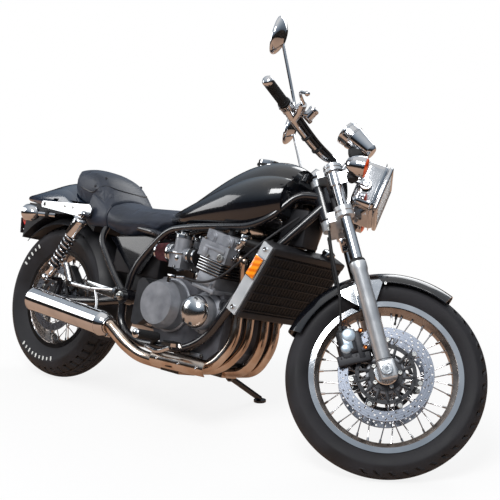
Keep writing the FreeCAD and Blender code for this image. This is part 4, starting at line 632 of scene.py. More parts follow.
def lathe(bm, outline, centre, axis, steps=64):
    """An outline of (radius, place along the axis) turned about the axis."""
    place = Matrix.Translation(centre) @ turned_to(axis)
    verts = [bm.verts.new(place @ spot(radius, 0, along)) for radius, along in outline]
    edges = [bm.edges.new(pair) for pair in zip(verts, verts[1:])]
    bmesh.ops.spin(bm, geom=verts + edges, cent=centre, axis=axis, angle=2 * math.pi, steps=steps,
                   use_merge=True)


def washer(bm, centre, axis, inner, outer, thick, steps=64, edge=0.6):
    """A flat ring, its middle at the centre, with softened edges."""
    half = thick / 2
    lathe(bm, [(inner, -half), (outer - edge, -half), (outer, -half + edge), (outer, half - edge),
               (outer - edge, half), (inner, half), (inner, -half)], centre, axis, steps)


def curve_through(name, points, radius, sides, steps):
    """A round run through space as an open spline, closed at its ends."""
    data = bpy.data.curves.new(name, "CURVE")
    data.dimensions = "3D"
    spline = data.splines.new("NURBS")
    spline.points.add(len(points) - 1)
    for point, place in zip(spline.points, points):
        point.co = (*place, 1)
    spline.order_u = 3
    spline.use_endpoint_u = True
    data.resolution_u = steps
    data.bevel_depth = radius
    data.bevel_resolution = sides
    data.use_fill_caps = True
    return data


def hose(bm, points, radius, sides=3, steps=8):
    """A tube along a smooth run."""
    data = curve_through("run", points, radius, sides, steps)
    holder = bpy.data.objects.new("run", data)
    mesh = bpy.data.meshes.new_from_object(holder)
    bpy.data.objects.remove(holder)
    bpy.data.curves.remove(data)
    bm.from_mesh(mesh)
    bpy.data.meshes.remove(mesh)


def pushed(bm, faces):
    """The points of the faces' copy, extruded from them and not yet moved."""
    made = bmesh.ops.extrude_face_region(bm, geom=faces)["geom"]
    return [item for item in made if isinstance(item, bmesh.types.BMVert)]


def join_loops(bm, near, far):
    """Faces between two closed loops of as many points."""
    for index in range(len(near)):
        after = (index + 1) % len(near)
        bm.faces.new((near[index], near[after], far[after], far[index]))


def hex_bolt(bm, at, axis, across=9, head=5, washer_out=2.5):
    """A hexagon head with a chamfer, on a washer."""
    top = at + axis * head
    bar(bm, at - axis * 2, at + axis * 1.2, across / 2 + washer_out, sides=20)
    bar(bm, at, top - axis * 0.8, across / 1.73, sides=6)
    bar(bm, top - axis * 0.8, top, across / 1.73, across / 2.1, sides=6)


def socket_bolt(bm, at, axis, radius=5, head=5):
    """A round head with a hexagon socket."""
    lathe(bm, [(0, head - 2.6), (radius * 0.5, head - 2.6), (radius * 0.5, head),
               (radius - 0.7, head), (radius, head - 0.7), (radius, -2)], at, axis, 18)


def piece(name, bm, body, material, replaces=(), angle=35):
    """A finished piece: in its place in the row frame, with its body, slot and material."""
    bmesh.ops.remove_doubles(bm, verts=bm.verts, dist=0.005)
    bmesh.ops.recalc_face_normals(bm, faces=bm.faces)
    made = object_of(name, bm)
    made.data.transform(PLACES[body])
    made.data.materials.append(finishes[material])
    smooth(made.data, angle)
    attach(made, body)
    if replaces:
        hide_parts(*replaces)
    return made


def free_cord(name, points, diameter, material, body):
    data = curve_through(name, points, diameter / 2 * MM, 4, 12)
    data.materials.append(finishes[material])
    cord = new_object(name, data)
    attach(cord, body)
    return cord


def smooth(mesh, angle):
    """Smooth shading with sharp edges where faces meet at more than that angle."""
    mesh.polygons.foreach_set("use_smooth", [True] * len(mesh.polygons))
    mesh.set_sharp_from_angle(angle=math.radians(angle))


def apply_modifiers(made):
    """Keep a piece's modifiers as its mesh."""
    bpy.context.view_layer.update()
    graph = bpy.context.evaluated_depsgraph_get()
    mesh = bpy.data.meshes.new_from_object(made.evaluated_get(graph))
    made.modifiers.clear()
    made.data = mesh


def refined(made, levels, angle):
    """The piece with its mesh subdivided."""
    finer = made.modifiers.new("finer", "SUBSURF")
    finer.levels = levels
    finer.render_levels = levels
    apply_modifiers(made)
    smooth(made.data, angle)
    return made


def drill(made, holes):
    """Take the closed shapes in the holes mesh out of a piece."""
    bmesh.ops.recalc_face_normals(holes, faces=holes.faces)
    tool = object_of("drill", holes)
    tool.data.transform(PLACES[made["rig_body"]])
    cutting = made.modifiers.new("holes", "BOOLEAN")
    cutting.object = tool
    cutting.operation = "DIFFERENCE"
    cutting.solver = "EXACT"
    apply_modifiers(made)
    smooth(made.data, 35)
    bpy.data.objects.remove(tool)


def about_axle(degrees):
    """The turn of what stands at that place round a wheel."""
    return Matrix.Rotation(-math.radians(degrees), 3, "Y")


def polar(centre, radius, degrees, y):
    """A point about a wheel's axle."""
    turn = math.radians(degrees)
    return centre + Vector((radius * math.cos(turn), y, radius * math.sin(turn)))


# ---- Wheels and brakes ----
TYRES = {
    # Sizes in millimetres; pitches round the tread, their slant at its edge in radians, and where
    # across the tread the cross grooves run and the long grooves lie
    "front": {"centre": FRONT_AXLE, "radius": 318.5, "half": 50.0, "drop": 35.5, "lip": 243.0,
              "seat": 34.0, "pitches": 44, "slant": 0.175, "cross": ((12, 20), (28, 41)),
              "long": (6,)},
    "rear": {"centre": REAR_AXLE, "radius": 322.0, "half": 84.0, "drop": 60.0, "lip": 204.5,
             "seat": 51.0, "pitches": 44, "slant": 0.125, "cross": ((14, 30), (44, 66)),
             "long": (7, 37)},
}
STEPS_PER_PITCH = 5
GROOVE_DEPTH = 5.0
# A long groove's half width is the tyre's half width over this.
LONG_GROOVE_SHARE = 28
# The left half's cross grooves run this many steps ahead of the right half's.
LEFT_SHIFT = 2
TREAD_STEPS, WALL_STEPS = 40, 8
WALL_BULGE = Vector((-2, 7))
# The tread's slant begins this far outside the rim's lip.
SLANT_FROM = 30


def tyre_outline(size):
    """(radius, across) from bead to bead: sidewall arc, crown arc, sidewall arc."""
    crown = (size["half"] ** 2 + size["drop"] ** 2) / (2 * size["drop"])
    ring_radius = size["radius"] - crown
    shoulder = math.asin(size["half"] / crown)
    angles = [shoulder * (2 * i / TREAD_STEPS - 1) for i in range(TREAD_STEPS + 1)]
    tread = [(ring_radius + crown * math.cos(a), crown * math.sin(a)) for a in angles]
    top = Vector((tread[-1][0], size["half"]))
    low = Vector((size["lip"], size["seat"]))
    middle = (top + low) / 2 + WALL_BULGE
    upper = [(size["lip"] - 12, size["seat"] - 1), (size["lip"] - 2, size["seat"] - 1)]
    for t in (i / WALL_STEPS for i in range(WALL_STEPS)):
        upper.append(tuple(low.lerp(middle, t).lerp(middle.lerp(top, t), t)))
    under = [(r, -y) for r, y in upper]
    return under + tread + upper[::-1]


def in_groove(at, size, steps):
    """Whether a face of the tread, at a place from the wheel's middle, lies in a groove."""
    if math.hypot(at.x, at.z) < size["radius"] - size["drop"]:
        return False
    step = int((math.degrees(math.atan2(at.z, at.x)) % 360) / 360 * steps)
    shift = LEFT_SHIFT if at.y > 0 else 0
    crossing = (step + shift) % STEPS_PER_PITCH == 0
    out = abs(at.y)
    if any(abs(out - y) < size["half"] / LONG_GROOVE_SHARE for y in size["long"]):
        return True
    return crossing and any(a < out < b for a, b in size["cross"])


def make_tyre(end):
    """A tyre: its outline turned about the axle, the grooves pushed in, the tread slanted, and two
    rings over each bead."""
    size = TYRES[end]
    centre = size["centre"]
    bm = bmesh.new()
    steps = size["pitches"] * STEPS_PER_PITCH
    lathe(bm, tyre_outline(size), centre, Y_AXIS, steps)
    bmesh.ops.remove_doubles(bm, verts=bm.verts, dist=0.01)
    grooves = [f for f in bm.faces if in_groove(f.calc_center_median() - centre, size, steps)]
    for vert in pushed(bm, grooves):
        at = vert.co - centre
        vert.co -= spot(at.x, 0, at.z).normalized() * GROOVE_DEPTH
    for vert in bm.verts:
        at = vert.co - centre
        across = min(abs(at.y), size["half"])
        if math.hypot(at.x, at.z) > size["lip"] + SLANT_FROM:
            turn = Matrix.Rotation(size["slant"] * across / size["half"], 3, "Y")
            vert.co = centre + turn @ at
    for radius in (size["lip"] + 6, size["lip"] + 10):
        for sign in SIGNS:
            washer(bm, centre + Y_AXIS * sign * (size["seat"] + 1.5), Y_AXIS, radius - 1,
                   radius + 1, 3, 96)
    piece(f"{end}_tyre_tread", bm, f"{end}_wheel", "tyre", (f"{end}_tyre",), 40)


# The white bars on the rear tyre's right wall: their radius, groups of (first and last place in
# degrees, count), two lengths, width and depth, edge, and how far their middles stand out.
BAR_RADIUS = 252
BAR_GROUPS = ((128, 152, 5), (238, 284, 9))
BAR_LENGTHS = (18, 13)
BAR_WIDTH, BAR_DEPTH = 3.4, 7
BAR_EDGE, BAR_LIFT = 0.8, 0.4
# How near in radius a point of the outline is to a bar to count as the wall under it.
BAR_REACH = 9


def make_sidewall_bars():
    """Short raised white bars on the rear tyre's right sidewall, in two plain groups."""
    bm = bmesh.new()
    out = max(-y for radius, y in tyre_outline(TYRES["rear"])
              if y < 0 and abs(radius - BAR_RADIUS) < BAR_REACH)
    for first, last, count in BAR_GROUPS:
        for index in range(count):
            degrees = first + (last - first) * index / (count - 1)
            place = polar(REAR_AXLE, BAR_RADIUS, degrees, -out - BAR_LIFT)
            size = (BAR_LENGTHS[index % 2], BAR_WIDTH, BAR_DEPTH)
            slab(bm, place, size, about_axle(degrees), BAR_EDGE)
    piece("rear_sidewall_bars", bm, "rear_wheel", "white_rubber")


SPOKES = {
    # Places of the spokes' ends in the CAD rims, and how many
    "front": {"centre": FRONT_AXLE, "count": 36, "hub": 39.0, "rim": 212.5, "flange": 30.5},
    "rear": {"centre": REAR_AXLE, "count": 40, "hub": 59.0, "rim": 174.0, "flange": 40.5},
}
SPOKE_LEAN = 58


def spoke_ends(size, index):
    """A spoke's ends at the hub flange and at the rim, as in the part's source."""
    side = 1 if index % 2 else -1
    at_rim = 360 * index / size["count"]
    at_hub = at_rim + (SPOKE_LEAN if index % 4 < 2 else -SPOKE_LEAN)
    return (polar(size["centre"], size["hub"], at_hub, side * size["flange"]),
            polar(size["centre"], size["rim"], at_rim, side * 5))


def make_spoke_fittings(end):
    """A nipple at the rim and a headed elbow at the flange for each spoke."""
    size = SPOKES[end]
    bm = bmesh.new()
    for index in range(size["count"]):
        at_hub, at_rim = spoke_ends(size, index)
        inward = (at_hub - at_rim).normalized()
        bar(bm, at_rim + inward * 2, at_rim + inward * 16, 4.2, 3.4, 8)
        out = Y_AXIS * (1 if index % 2 else -1)
        globe(bm, at_hub + out * 4.5, 4.0, (1, 0.6, 1), 8)
    piece(f"{end}_spoke_nipples", bm, f"{end}_wheel", "chrome")


def make_valve(end):
    """The valve's stem and cap."""
    size = TYRES[end]
    bm = bmesh.new()
    start = polar(size["centre"], SPOKES[end]["rim"] - 1, 95, 0)
    inward = (size["centre"] - start).normalized()
    bar(bm, start, start + inward * 14, 5, 4, 12)
    bar(bm, start + inward * 14, start + inward * 30, 2.6, sides=10)
    bar(bm, start + inward * 26, start + inward * 34, 3.8, sides=10)
    piece(f"{end}_valve", bm, f"{end}_wheel", "grip_rubber")


def pin(bm, centre, radius, degrees, y, half, thick, sides=20):
    """A round pin along the axle, at a place round a wheel."""
    bar(bm, polar(centre, radius, degrees, y - half), polar(centre, radius, degrees, y + half),
        thick, sides=sides)


# The discs' rows of holes: how many round the disc, where across its band, how far each hole is
# turned on from the one inside it; every so many rows the middle hole is left out.
HOLE_ROWS, HOLE_SHARES, HOLE_TURN = 32, (0.22, 0.5, 0.78), 4.2
HOLE_RADIUS, GAP_EVERY = 3.4, 4
BOBBINS = 7
# The carrier: its inner ring's radii, how far its outer one is inside the band, its screws.
CARRIER_INNER, CARRIER_OUTER, CARRIER_GAP = 34, 54, 22
CARRIER_SCREWS = 5


def make_disc(name, centre, y, outer, inner, body, material, node):
    """A floating disc: a drilled band, a dark star carrier and the bobbins that join them."""
    middle = centre + Y_AXIS * y
    bm, star = meshes(2)
    places = [360 * index / BOBBINS for index in range(BOBBINS)]
    washer(bm, middle, Y_AXIS, inner, outer, 5, 120, 0.5)
    for degrees in places:
        pin(bm, centre, inner - 1, degrees, y, 2.4, 11)
    band = piece(f"{name}_band", bm, body, material, (node,))
    holes = bmesh.new()
    for row in range(HOLE_ROWS):
        for index, share in enumerate(HOLE_SHARES):
            if row % GAP_EVERY < GAP_EVERY - 1 or index != 1:
                pin(holes, centre, inner + (outer - inner) * share,
                    360 * row / HOLE_ROWS + HOLE_TURN * (index - 1), y, 6, HOLE_RADIUS, 10)
    drill(band, holes)
    reach = inner - CARRIER_GAP
    washer(star, middle, Y_AXIS, reach - 12, reach, 6, 96)
    washer(star, middle, Y_AXIS, CARRIER_INNER, CARRIER_OUTER, 6, 64)
    for degrees in places:
        pin(star, centre, reach + 4, degrees, y, 3, 12)
    for degrees in (180 * index / BOBBINS for index in range(2 * BOBBINS)):
        slab(star, polar(centre, (CARRIER_OUTER + reach) / 2 - 4, degrees + 6, y),
             (reach - CARRIER_OUTER + 2, 6, 9), about_axle(degrees + 12), 1)
    piece(f"{name}_carrier", star, body, "cast_dark")
    bm = bmesh.new()
    for degrees in places:
        for sign, out in SIDEWAYS:
            lathe(bm, [(0, 1.0), (3.5, 1.0), (3.8, 2.4), (7.5, 2.4), (8.2, 1.6), (8.2, -1.5)],
                  polar(centre, inner - 9, degrees, y + sign * 3), out, 20)
    sign, out = SIDEWAYS[y > 0]
    for index in range(CARRIER_SCREWS):
        at = polar(centre, 44, 360 / CARRIER_SCREWS * index + 20, y + sign * 3)
        socket_bolt(bm, at, out, 7.0, 6.0)
    piece(f"{name}_bobbins", bm, body, "steel")


def make_hub_trim():
    """Ribbed cups behind the front discs, and the drums on both sides of the rear hub."""
    bm = bmesh.new()
    for sign, out in SIDEWAYS:
        lathe(bm, [(28, 34), (58, 38), (62, 44), (62, 50), (54, 53), (34, 54), (28, 54)],
              FRONT_AXLE, out, 64)
        for degrees in range(0, 360, 36):
            slab(bm, polar(FRONT_AXLE, 52, degrees, sign * 44), (22, 12, 4), about_axle(degrees), 0.8)
    piece("front_hub_cups", bm, "front_wheel", "cast")
    bm = bmesh.new()
    lathe(bm, [(40, 48), (64, 52), (66, 58), (66, 66), (58, 69), (38, 69), (38, 60)], REAR_AXLE,
          -Y_AXIS, 64)
    lathe(bm, [(40, 44), (92, 50), (98, 56), (98, 74), (90, 80), (42, 82), (38, 74)], REAR_AXLE,
          Y_AXIS, 72)
    piece("rear_hub_drum", bm, "rear_wheel", "cast")


# The discs. Columns: name, axle, place across, outer and inner radius, body, finish, CAD node.
DISCS = (("front_disc_right", FRONT_AXLE, -57.5, 150, 118, "front_wheel", "front_disc_steel",
          "front_discs"),
         ("front_disc_left", FRONT_AXLE, 57.5, 150, 118, "front_wheel", "front_disc_steel",
          "front_discs"),
         ("rear_disc_right", REAR_AXLE, -71.5, 135, 104, "rear_wheel", "rear_disc_steel",
          "rear_disc"))


def make_wheels():
    """Everything that turns with the wheels."""
    for end in TYRES:
        make_tyre(end)
        make_spoke_fittings(end)
        make_valve(end)
    make_sidewall_bars()
    make_hub_trim()
    for disc in DISCS:
        make_disc(*disc)


# Caliper brackets. Columns: (up, out, ahead), size, edge and segments.
BRACKET_BLOCKS = (((66, 74, -84), (108, 8, 34), 5, 3), ((106, 74, -58), (22, 10, 92), 4),
                  ((88, 79, -40), (34, 10, 14), 3))


def make_brake_trim():
    """What is bolted to the calipers: piston housings, bridges, slide pins and brackets."""
    pistons, brackets, bolts = meshes(3)
    blocks(pistons, fork, RAKED, (((121, 79, -93), (28, 8, 48), 3),), SIGNS)
    blocks(brackets, fork, RAKED, BRACKET_BLOCKS, SIGNS)
    for sign, out in SIDEWAYS:
        for up, ahead, radius in ((142, -84, 23), (102, -102, 17)):
            lathe(pistons, [(0, 5), (radius - 5, 5), (radius - 2, 3.5), (radius, 0), (radius, -8)],
                  fork(up, sign * 80, ahead), out, 32)
        bar(brackets, fork(166, sign * 66, -92), fork(176, sign * 66, -90), 12, 9)
        for up, ahead in ((150, -44), (92, -42)):
            lathe(bolts, [(0, 5), (4, 6.4), (6.5, 5), (8, 2), (8.4, -3)], fork(up, sign * 79, ahead),
                  out, 20)
        for ahead in (-124, -108, -92, -76):
            socket_bolt(brackets, fork(74, sign * 78, ahead), out, 3, 2)
    piece("caliper_pistons", pistons, "fork", "piston_grey")
    piece("caliper_brackets", brackets, "fork", "cast_dark")
    piece("caliper_pins", bolts, "fork", "brass_bolt")


make_wheels()
make_brake_trim()


# ---- Engine ----
# The case's half width, the foot of the block, the pitches across of the cylinders and of the
# carburettors, and the fins' heights in the block.
CASE_HALF = 134
CYLINDER_BASE = crank(8, 0, 76)
CYLINDER_PITCH = 88
CARBURETOR_PITCH = 96
FIN_PLACES = (68, 78, 88, 98, 108)


def stepped(count, pitch):
    """That many places with one pitch, about zero."""
    return [(index - (count - 1) / 2) * pitch for index in range(count)]


# Where the four cylinders and the four carburettors stand across the machine.
CYLINDER_PLACES = stepped(4, CYLINDER_PITCH)
CARBURETOR_PLACES = stepped(4, CARBURETOR_PITCH)


def cylinder(ahead, side, up):
    """A point in the leaning cylinder block: ahead and up from the middle of its foot."""
    return CYLINDER_BASE + TILT @ spot(ahead, side, up)


# The block. Columns: (ahead, out, up) in the leaning block, size, edge and segments.
JACKET_BLOCKS = (((0, 0, 9), (108, 380, 16), 4), ((-3, 0, 34), (90, 366, 60), 7, 3))
JACKET_ENDS = (((-3, 183, 40), (60, 6, 38), 3), ((30, 184, 22), (14, 8, 26), 3))
FIN_SIZE, FIN_EDGE = (112, 382, 4.2), 1.4


def make_cylinders():
    """The block: a stepped jacket with a row of bright fins under the head, and a dark block between the
    fins as painted shade.
    """
    jacket, fins, gaps = meshes(3)
    blocks(jacket, cylinder, TILT, JACKET_BLOCKS)
    blocks(jacket, cylinder, TILT, JACKET_ENDS, SIGNS)
    for sign in SIGNS:
        for ahead in (-44, 44):
            hex_bolt(jacket, cylinder(ahead, sign * 176, 17), TILT @ Z_AXIS, 9, 6)
    # A dark block inside the fins: painted shade in the gaps between them.
    slab(gaps, cylinder(0, 0, 86), (96, 366, 54), TILT, 3)
    blocks(fins, cylinder, TILT, [((0, 0, up), FIN_SIZE, FIN_EDGE) for up in FIN_PLACES])
    piece("cylinder_jacket", jacket, "chassis", "cast", ("cylinder_block",))
    piece("cylinder_fin_painted_shade", gaps, "chassis", "cast_dark")
    piece("cylinder_fins", fins, "chassis", "polished")


# The cam ridge's radius and height, and the plug leads' route from each plug. Columns: ahead, the
# share of the plug's place across, up.
CAM_RADIUS, CAM_UP = 27, 184
LEAD_ROUTE = ((0, 1, 230), (-6, 1, 246), (-30, 0.8, 250), (-70, 0.5, 238), (-100, 0.4, 214))
HEAD_ENDS = (((6, 195, 150), (96, 5, 12), 2), ((-34, 195, 132), (22, 6, 30), 3))


def make_head_trim():
    """Cam ridges, end caps, plugs and bolts on the cylinder head."""
    up = TILT @ Z_AXIS
    ridges, bright, dark = meshes(3)
    for ahead in (-36, 36):
        bar(ridges, cylinder(ahead, -178, CAM_UP), cylinder(ahead, 178, CAM_UP), CAM_RADIUS, sides=40)
        for sign, out in SIDEWAYS:
            lathe(ridges, [(0, 7), (14, 7), (16, 5), (20, 5), (23, 2), (23, -3)],
                  cylinder(ahead, sign * 178, CAM_UP), out, 32)
            slab(ridges, cylinder(ahead * 1.2, sign * 170, 166), (44, 40, 12), TILT, 4)
        for y in CYLINDER_PLACES:
            for shift in (-20, 20):
                hex_bolt(bright, cylinder(ahead * 1.72, y + shift, 192), up, 9, 8)
    slab(dark, cylinder(0, 0, 206), (26, 330, 8), TILT, 2)
    for y in CYLINDER_PLACES:
        bar(dark, cylinder(0, y, 206), cylinder(0, y, 228), 12, 10)
        globe(dark, cylinder(0, y, 228), 10, (1, 1, 0.8), 14)
        hose(dark, [cylinder(ahead, y * share, high) for ahead, share, high in LEAD_ROUTE], 3.6)
    blocks(ridges, cylinder, TILT, HEAD_ENDS, SIGNS)
    for sign, out in SIDEWAYS:
        lathe(bright, [(0, 2), (4, 2), (5, 5), (10, 5), (11, 7), (14, 6), (15, 0), (15, -3)],
              cylinder(44, sign * 194, 128), out, 28)
        for ahead in (-58, 58):
            hex_bolt(bright, cylinder(ahead, sign * 187, 171), up, 9, 7)
        hex_bolt(bright, cylinder(-14, sign * 195, 120), out)
    piece("cam_ridges", ridges, "chassis", "cast")
    piece("head_bolts", bright, "chassis", "steel")
    piece("plug_caps", dark, "chassis", "plastic")


def make_thermostat():
    """The coolant elbow on the head's right front, with its rubber pipe to the radiator."""
    metal, rubber = meshes(2)
    bar(metal, cylinder(58, -150, 178), cylinder(84, -152, 206), 17, 15)
    globe(metal, cylinder(86, -152, 210), 18, (1, 1, 0.9))
    lathe(metal, [(13, 2), (18, 2), (19, -2), (19, -6), (13, -8)], cylinder(86, -152, 228),
          TILT @ Z_AXIS, 28)
    for turn in (-1, 1):
        hex_bolt(metal, cylinder(60 + turn * 14, -168, 188 + turn * 6), -Y_AXIS)
    hose(rubber, [cylinder(92, -150, 210), cylinder(118, -140, 208), cylinder(150, -126, 214),
                  cylinder(178, -112, 236)], 13, 4)
    piece("coolant_elbow", metal, "chassis", "polished")
    piece("coolant_pipe", rubber, "chassis", "grip_rubber")


# The ignition cover's ring of bolts; then places ahead of the bolts in the case's seam, the span of
# them that the clutch cover hides on the right, and the sump's bolts and fins.
COVER_BOLT_RADIUS = 69
SEAM_BOLTS = tuple(-250 + 52 * index for index in range(7))
HIDDEN_SEAM = (-255, -90)
SUMP_BOLTS = (-180, -110, -40, 20)
SUMP_FINS = 8


def make_engine_covers():
    """The polished ignition dome, the rings behind both right covers, and the case's seam."""
    dome, rings, bright, dark = meshes(4)
    out = -Y_AXIS
    centre = crank(2, -CASE_HALF, 0)
    lathe(dome, [(0, 99), (18, 98), (34, 93.5), (46, 86), (54, 76), (57.5, 65), (58, 54)], centre,
          out, 72)
    lathe(rings, [(58, 55), (60, 52), (60, 14), (74, 8), (76, 4), (76, -4)], centre, out, 72)
    lathe(rings, [(60, 0), (97, 0), (98, 10), (92, 14), (91, 14)], crank(-171, -CASE_HALF, 1), out,
          72)
    for degrees in (70, 250):
        lathe(dark, [(0, 1), (5, 1), (7, 3), (8.5, 2), (8.5, -2)],
              polar(centre + out * 84, 44, degrees, 0), out, 20)
    for index in range(6):
        at = polar(centre + out * 8, COVER_BOLT_RADIUS, 60 * index + 20, 0)
        hex_bolt(bright, at, out, 8, 5, 1.5)
    slab(rings, crank(-92, 0, -6), (366, 280, 9), None, 3)
    blocks(rings, crank, None, (((-96, 132, -150), (210, 14, 16), 4),), SIGNS)
    for sign in SIGNS:
        for ahead in SEAM_BOLTS:
            if sign > 0 or not HIDDEN_SEAM[0] < ahead < HIDDEN_SEAM[1]:
                hex_bolt(bright, crank(ahead, sign * 136, -11), -Z_AXIS, 9, 6)
        for ahead in SUMP_BOLTS:
            hex_bolt(bright, crank(ahead, sign * 139, -150), Y_AXIS * sign)
    slab(dark, crank(-70, 0, -166), (200, 170, 14), None, 5)
    for index in range(SUMP_FINS):
        slab(dark, crank(-70, (index - 3.5) * 21, -174), (196, 4, 12), None, 1)
    bar(dark, crank(-52, -118, 104), crank(-52, 60, 104), 25, sides=32)
    lathe(dark, [(0, 6), (18, 6), (24, 3), (27, 0), (27, -12)], crank(-52, -118, 104), out, 32)
    lathe(dark, [(0, 5), (12, 5), (12, 9), (22, 9), (25, 4), (25, -6)], crank(84, -136, 40), out, 32)
    lathe(bright, [(0, 4), (6, 4), (9, 2), (10, -3)], cylinder(-52, -176, 40), out, 24)
    piece("ignition_dome", dome, "chassis", "polished", ("ignition_cover",))
    piece("case_rings", rings, "chassis", "cast")
    piece("case_bolts", bright, "chassis", "steel")
    piece("sump_and_starter", dark, "chassis", "cast_dark")


# The clutch cable's control points on the upright machine, from the arm up to the frame.
CLUTCH_CABLE_ROUTE = ((832, -196, 506), (892, -198, 500), (960, -204, 508), (1030, -204, 545),
                      (1109, -184, 640), (1168, -134, 724), (1186, -68, 778))


def make_clutch_lift():
    """The release arm on the clutch cover, its cable holder and the free outer cable."""
    arm = bmesh.new()
    top = crank(-150, -196, 96)
    bar(arm, top - Z_AXIS * 26, top + Z_AXIS * 8, 7, sides=16)
    slab(arm, top + spot(14, -3, 8), (40, 6, 12), None, 2)
    bar(arm, top + spot(32, -3, 2), top + spot(32, -3, 16), 5, sides=14)
    bar(arm, top + spot(40, -3, 9), top + spot(74, 0, 12), 4, 5, 14)
    piece("clutch_arm", arm, "chassis", "chrome")
    points = [PLACES["chassis"] @ Vector(place) for place in CLUTCH_CABLE_ROUTE]
    cable = free_cord("clutch_cable", points, 8.8, "plastic", "chassis")


def carburetor_middle(y):
    """The middle of the carburettor at that place across."""
    return crank(-164, y, 188)


def make_intake_trim():
    """Caps, bell mouths, bowls and screws on the carburettors, and the rubber stubs."""
    caps, stubs = meshes(2)
    for middle in map(carburetor_middle, CARBURETOR_PLACES):
        lathe(caps, [(0, 82), (14, 81), (17, 79), (17, 74), (30, 72), (33, 68), (33, 58), (30, 56)],
              middle, Z_AXIS, 36)
        lathe(caps, [(20, 26), (36, 27), (38, 31), (38, 35), (34, 38), (28, 38)], middle, -X_AXIS, 36)
        lathe(caps, [(0, 62), (8, 62), (10, 59), (22, 57), (27, 52), (27, 44)], middle, -Z_AXIS, 32)
        slab(caps, middle + spot(0, 0, 2), (64, 58, 8), None, 2.5)
        for ahead in (-24, 24):
            for side in (-22, 22):
                socket_bolt(caps, middle + spot(ahead, side, 74), Z_AXIS, 3.4, 3)
        for sign, out in SIDEWAYS:
            lathe(caps, [(0, 3), (9, 3), (12, 1), (12, -6)], middle + spot(6, sign * 24, -16),
                  out, 24)
        bar(stubs, middle + X_AXIS * 46, middle + X_AXIS * 84, 28, 26)
        for ahead in (52, 78):
            washer(caps, middle + X_AXIS * ahead, X_AXIS, 26, 29.5, 7, 32)
    piece("carburetor_caps", caps, "chassis", "polished")
    piece("intake_stubs", stubs, "chassis", "grip_rubber")


# The filters' pleats, how deep they are, and the cones' radii at their wide and narrow ends.
PLEATS, PLEAT_DEPTH = 44, 4.5
FILTER_WIDE, FILTER_NARROW = 38, 30.5


def make_filters():
    """Four tapered cone filters: pleated gauze between two chrome end caps."""
    gauze, caps = meshes(2)
    for middle in map(carburetor_middle, CARBURETOR_PLACES):
        front = middle - X_AXIS * 38
        rear = front - spot(74, 0, 4)
        axis = (rear - front).normalized()
        for vert in bar(gauze, front + axis * 4, rear, FILTER_WIDE, FILTER_NARROW, 2 * PLEATS):
            out = vert.co - front
            out -= axis * out.dot(axis)
            if round(math.atan2(out.y, out.z) / math.pi * PLEATS) % 2:
                vert.co -= out.normalized() * PLEAT_DEPTH
        lathe(caps, [(0, 8), (18, 8), (28, 5), (32, 0), (32, -6), (29, -6)], rear, axis, 40)
        lathe(caps, [(28, 9), (39.5, 9), (40.5, 6), (40.5, 0), (28, -1)], front, axis, 40)
    piece("filter_pleats", gauze, "chassis", "gauze", ("air_filters",), 20)
    piece("filter_caps", caps, "chassis", "chrome")


# ---- Exhaust and cooling ----
MUFFLER_LENGTH = 457


def muffler_ends(sign):
    """A muffler's front end and the way back along it."""
    return pivot(14, sign * 230, -113), spot(-456, 0, 29).normalized()


def make_exhaust_trim():
    """Collars and nuts at the ports, rings on the mufflers, and their dark bores: soot, with painted
    shade where the bores go deep.
    """
    bright, soot_and_painted_shade = meshes(2)
    ahead = spot(26, 0, -6).normalized()
    for y in CYLINDER_PLACES:
        port = crank(107, y, 205.5)
        lathe(bright, [(19, -5), (30, -5), (32, -3), (32, 3), (29, 5), (19, 6)], port, ahead, 32)
        for sign in SIGNS:
            at = port + spot(0, sign * 34, sign * 4)
            slab(bright, at - ahead * 1, (9, 22, 18), None, 3)
            hex_bolt(bright, at + ahead * 4, ahead, 9, 7)
    for sign, out in SIDEWAYS:
        front, axis = muffler_ends(sign)
        for along, radius in ((-6, 31), (8, 33), (36, 47.6)):
            washer(bright, front + axis * along, axis, radius - 6, radius, 5, 64)
        slab(bright, front - axis * 4 + spot(0, 0, -36), (16, 14, 14), None, 3)
        hex_bolt(bright, front - axis * 4 + spot(0, -sign * 8, -38), out, 9, 16)
        end = front + axis * MUFFLER_LENGTH
        washer(bright, end - axis * 2, axis, 42.6, 47.8, 5, 72, 1.4)
        # Near-black discs close the bores: soot, and painted shade for the pipes' depth.
        lathe(soot_and_painted_shade, [(0, -37), (43, -37), (43.2, -3)], end, axis, 48)
        washer(bright, end - axis * 22, axis, 15, 18, 34, 36)
        lathe(soot_and_painted_shade, [(0, -34), (14.8, -34), (14.8, -6)], end, axis, 32)
    for place in (64, -16, -116):
        socket_bolt(bright, crank(place, -172 - (90 - place) / 12 - 29, -187), -Y_AXIS, 5, 3)
    piece("exhaust_clamps", bright, "chassis", "chrome")
    piece("muffler_bores", soot_and_painted_shade, "chassis", "soot_and_painted_shade")


def radiator_frame():
    """The radiator's middle, its turn, and the ways up along it and ahead out of it."""
    head = fork(647.5, 0, STEM)
    top, low = head + spot(-108, 0, -238), crank(120, 0, 48)
    along = spot(top.x - low.x, 0, top.z - low.z).normalized()
    ahead = spot(along.z, 0, -along.x)
    turn = Matrix.Rotation(math.atan2(along.x, along.z), 3, "Y")
    return (top + low) / 2 + ahead * 56 + along * 39, turn, along, ahead


# The radiator's rows of cooling fins and its tubes, with their pitches, and the grille's bars.
CORE_ROWS, ROW_PITCH = 40, 5.4
CORE_TUBES, TUBE_PITCH = 23, 16
GRILLE_BARS, GRILLE_PITCH = 7, 34


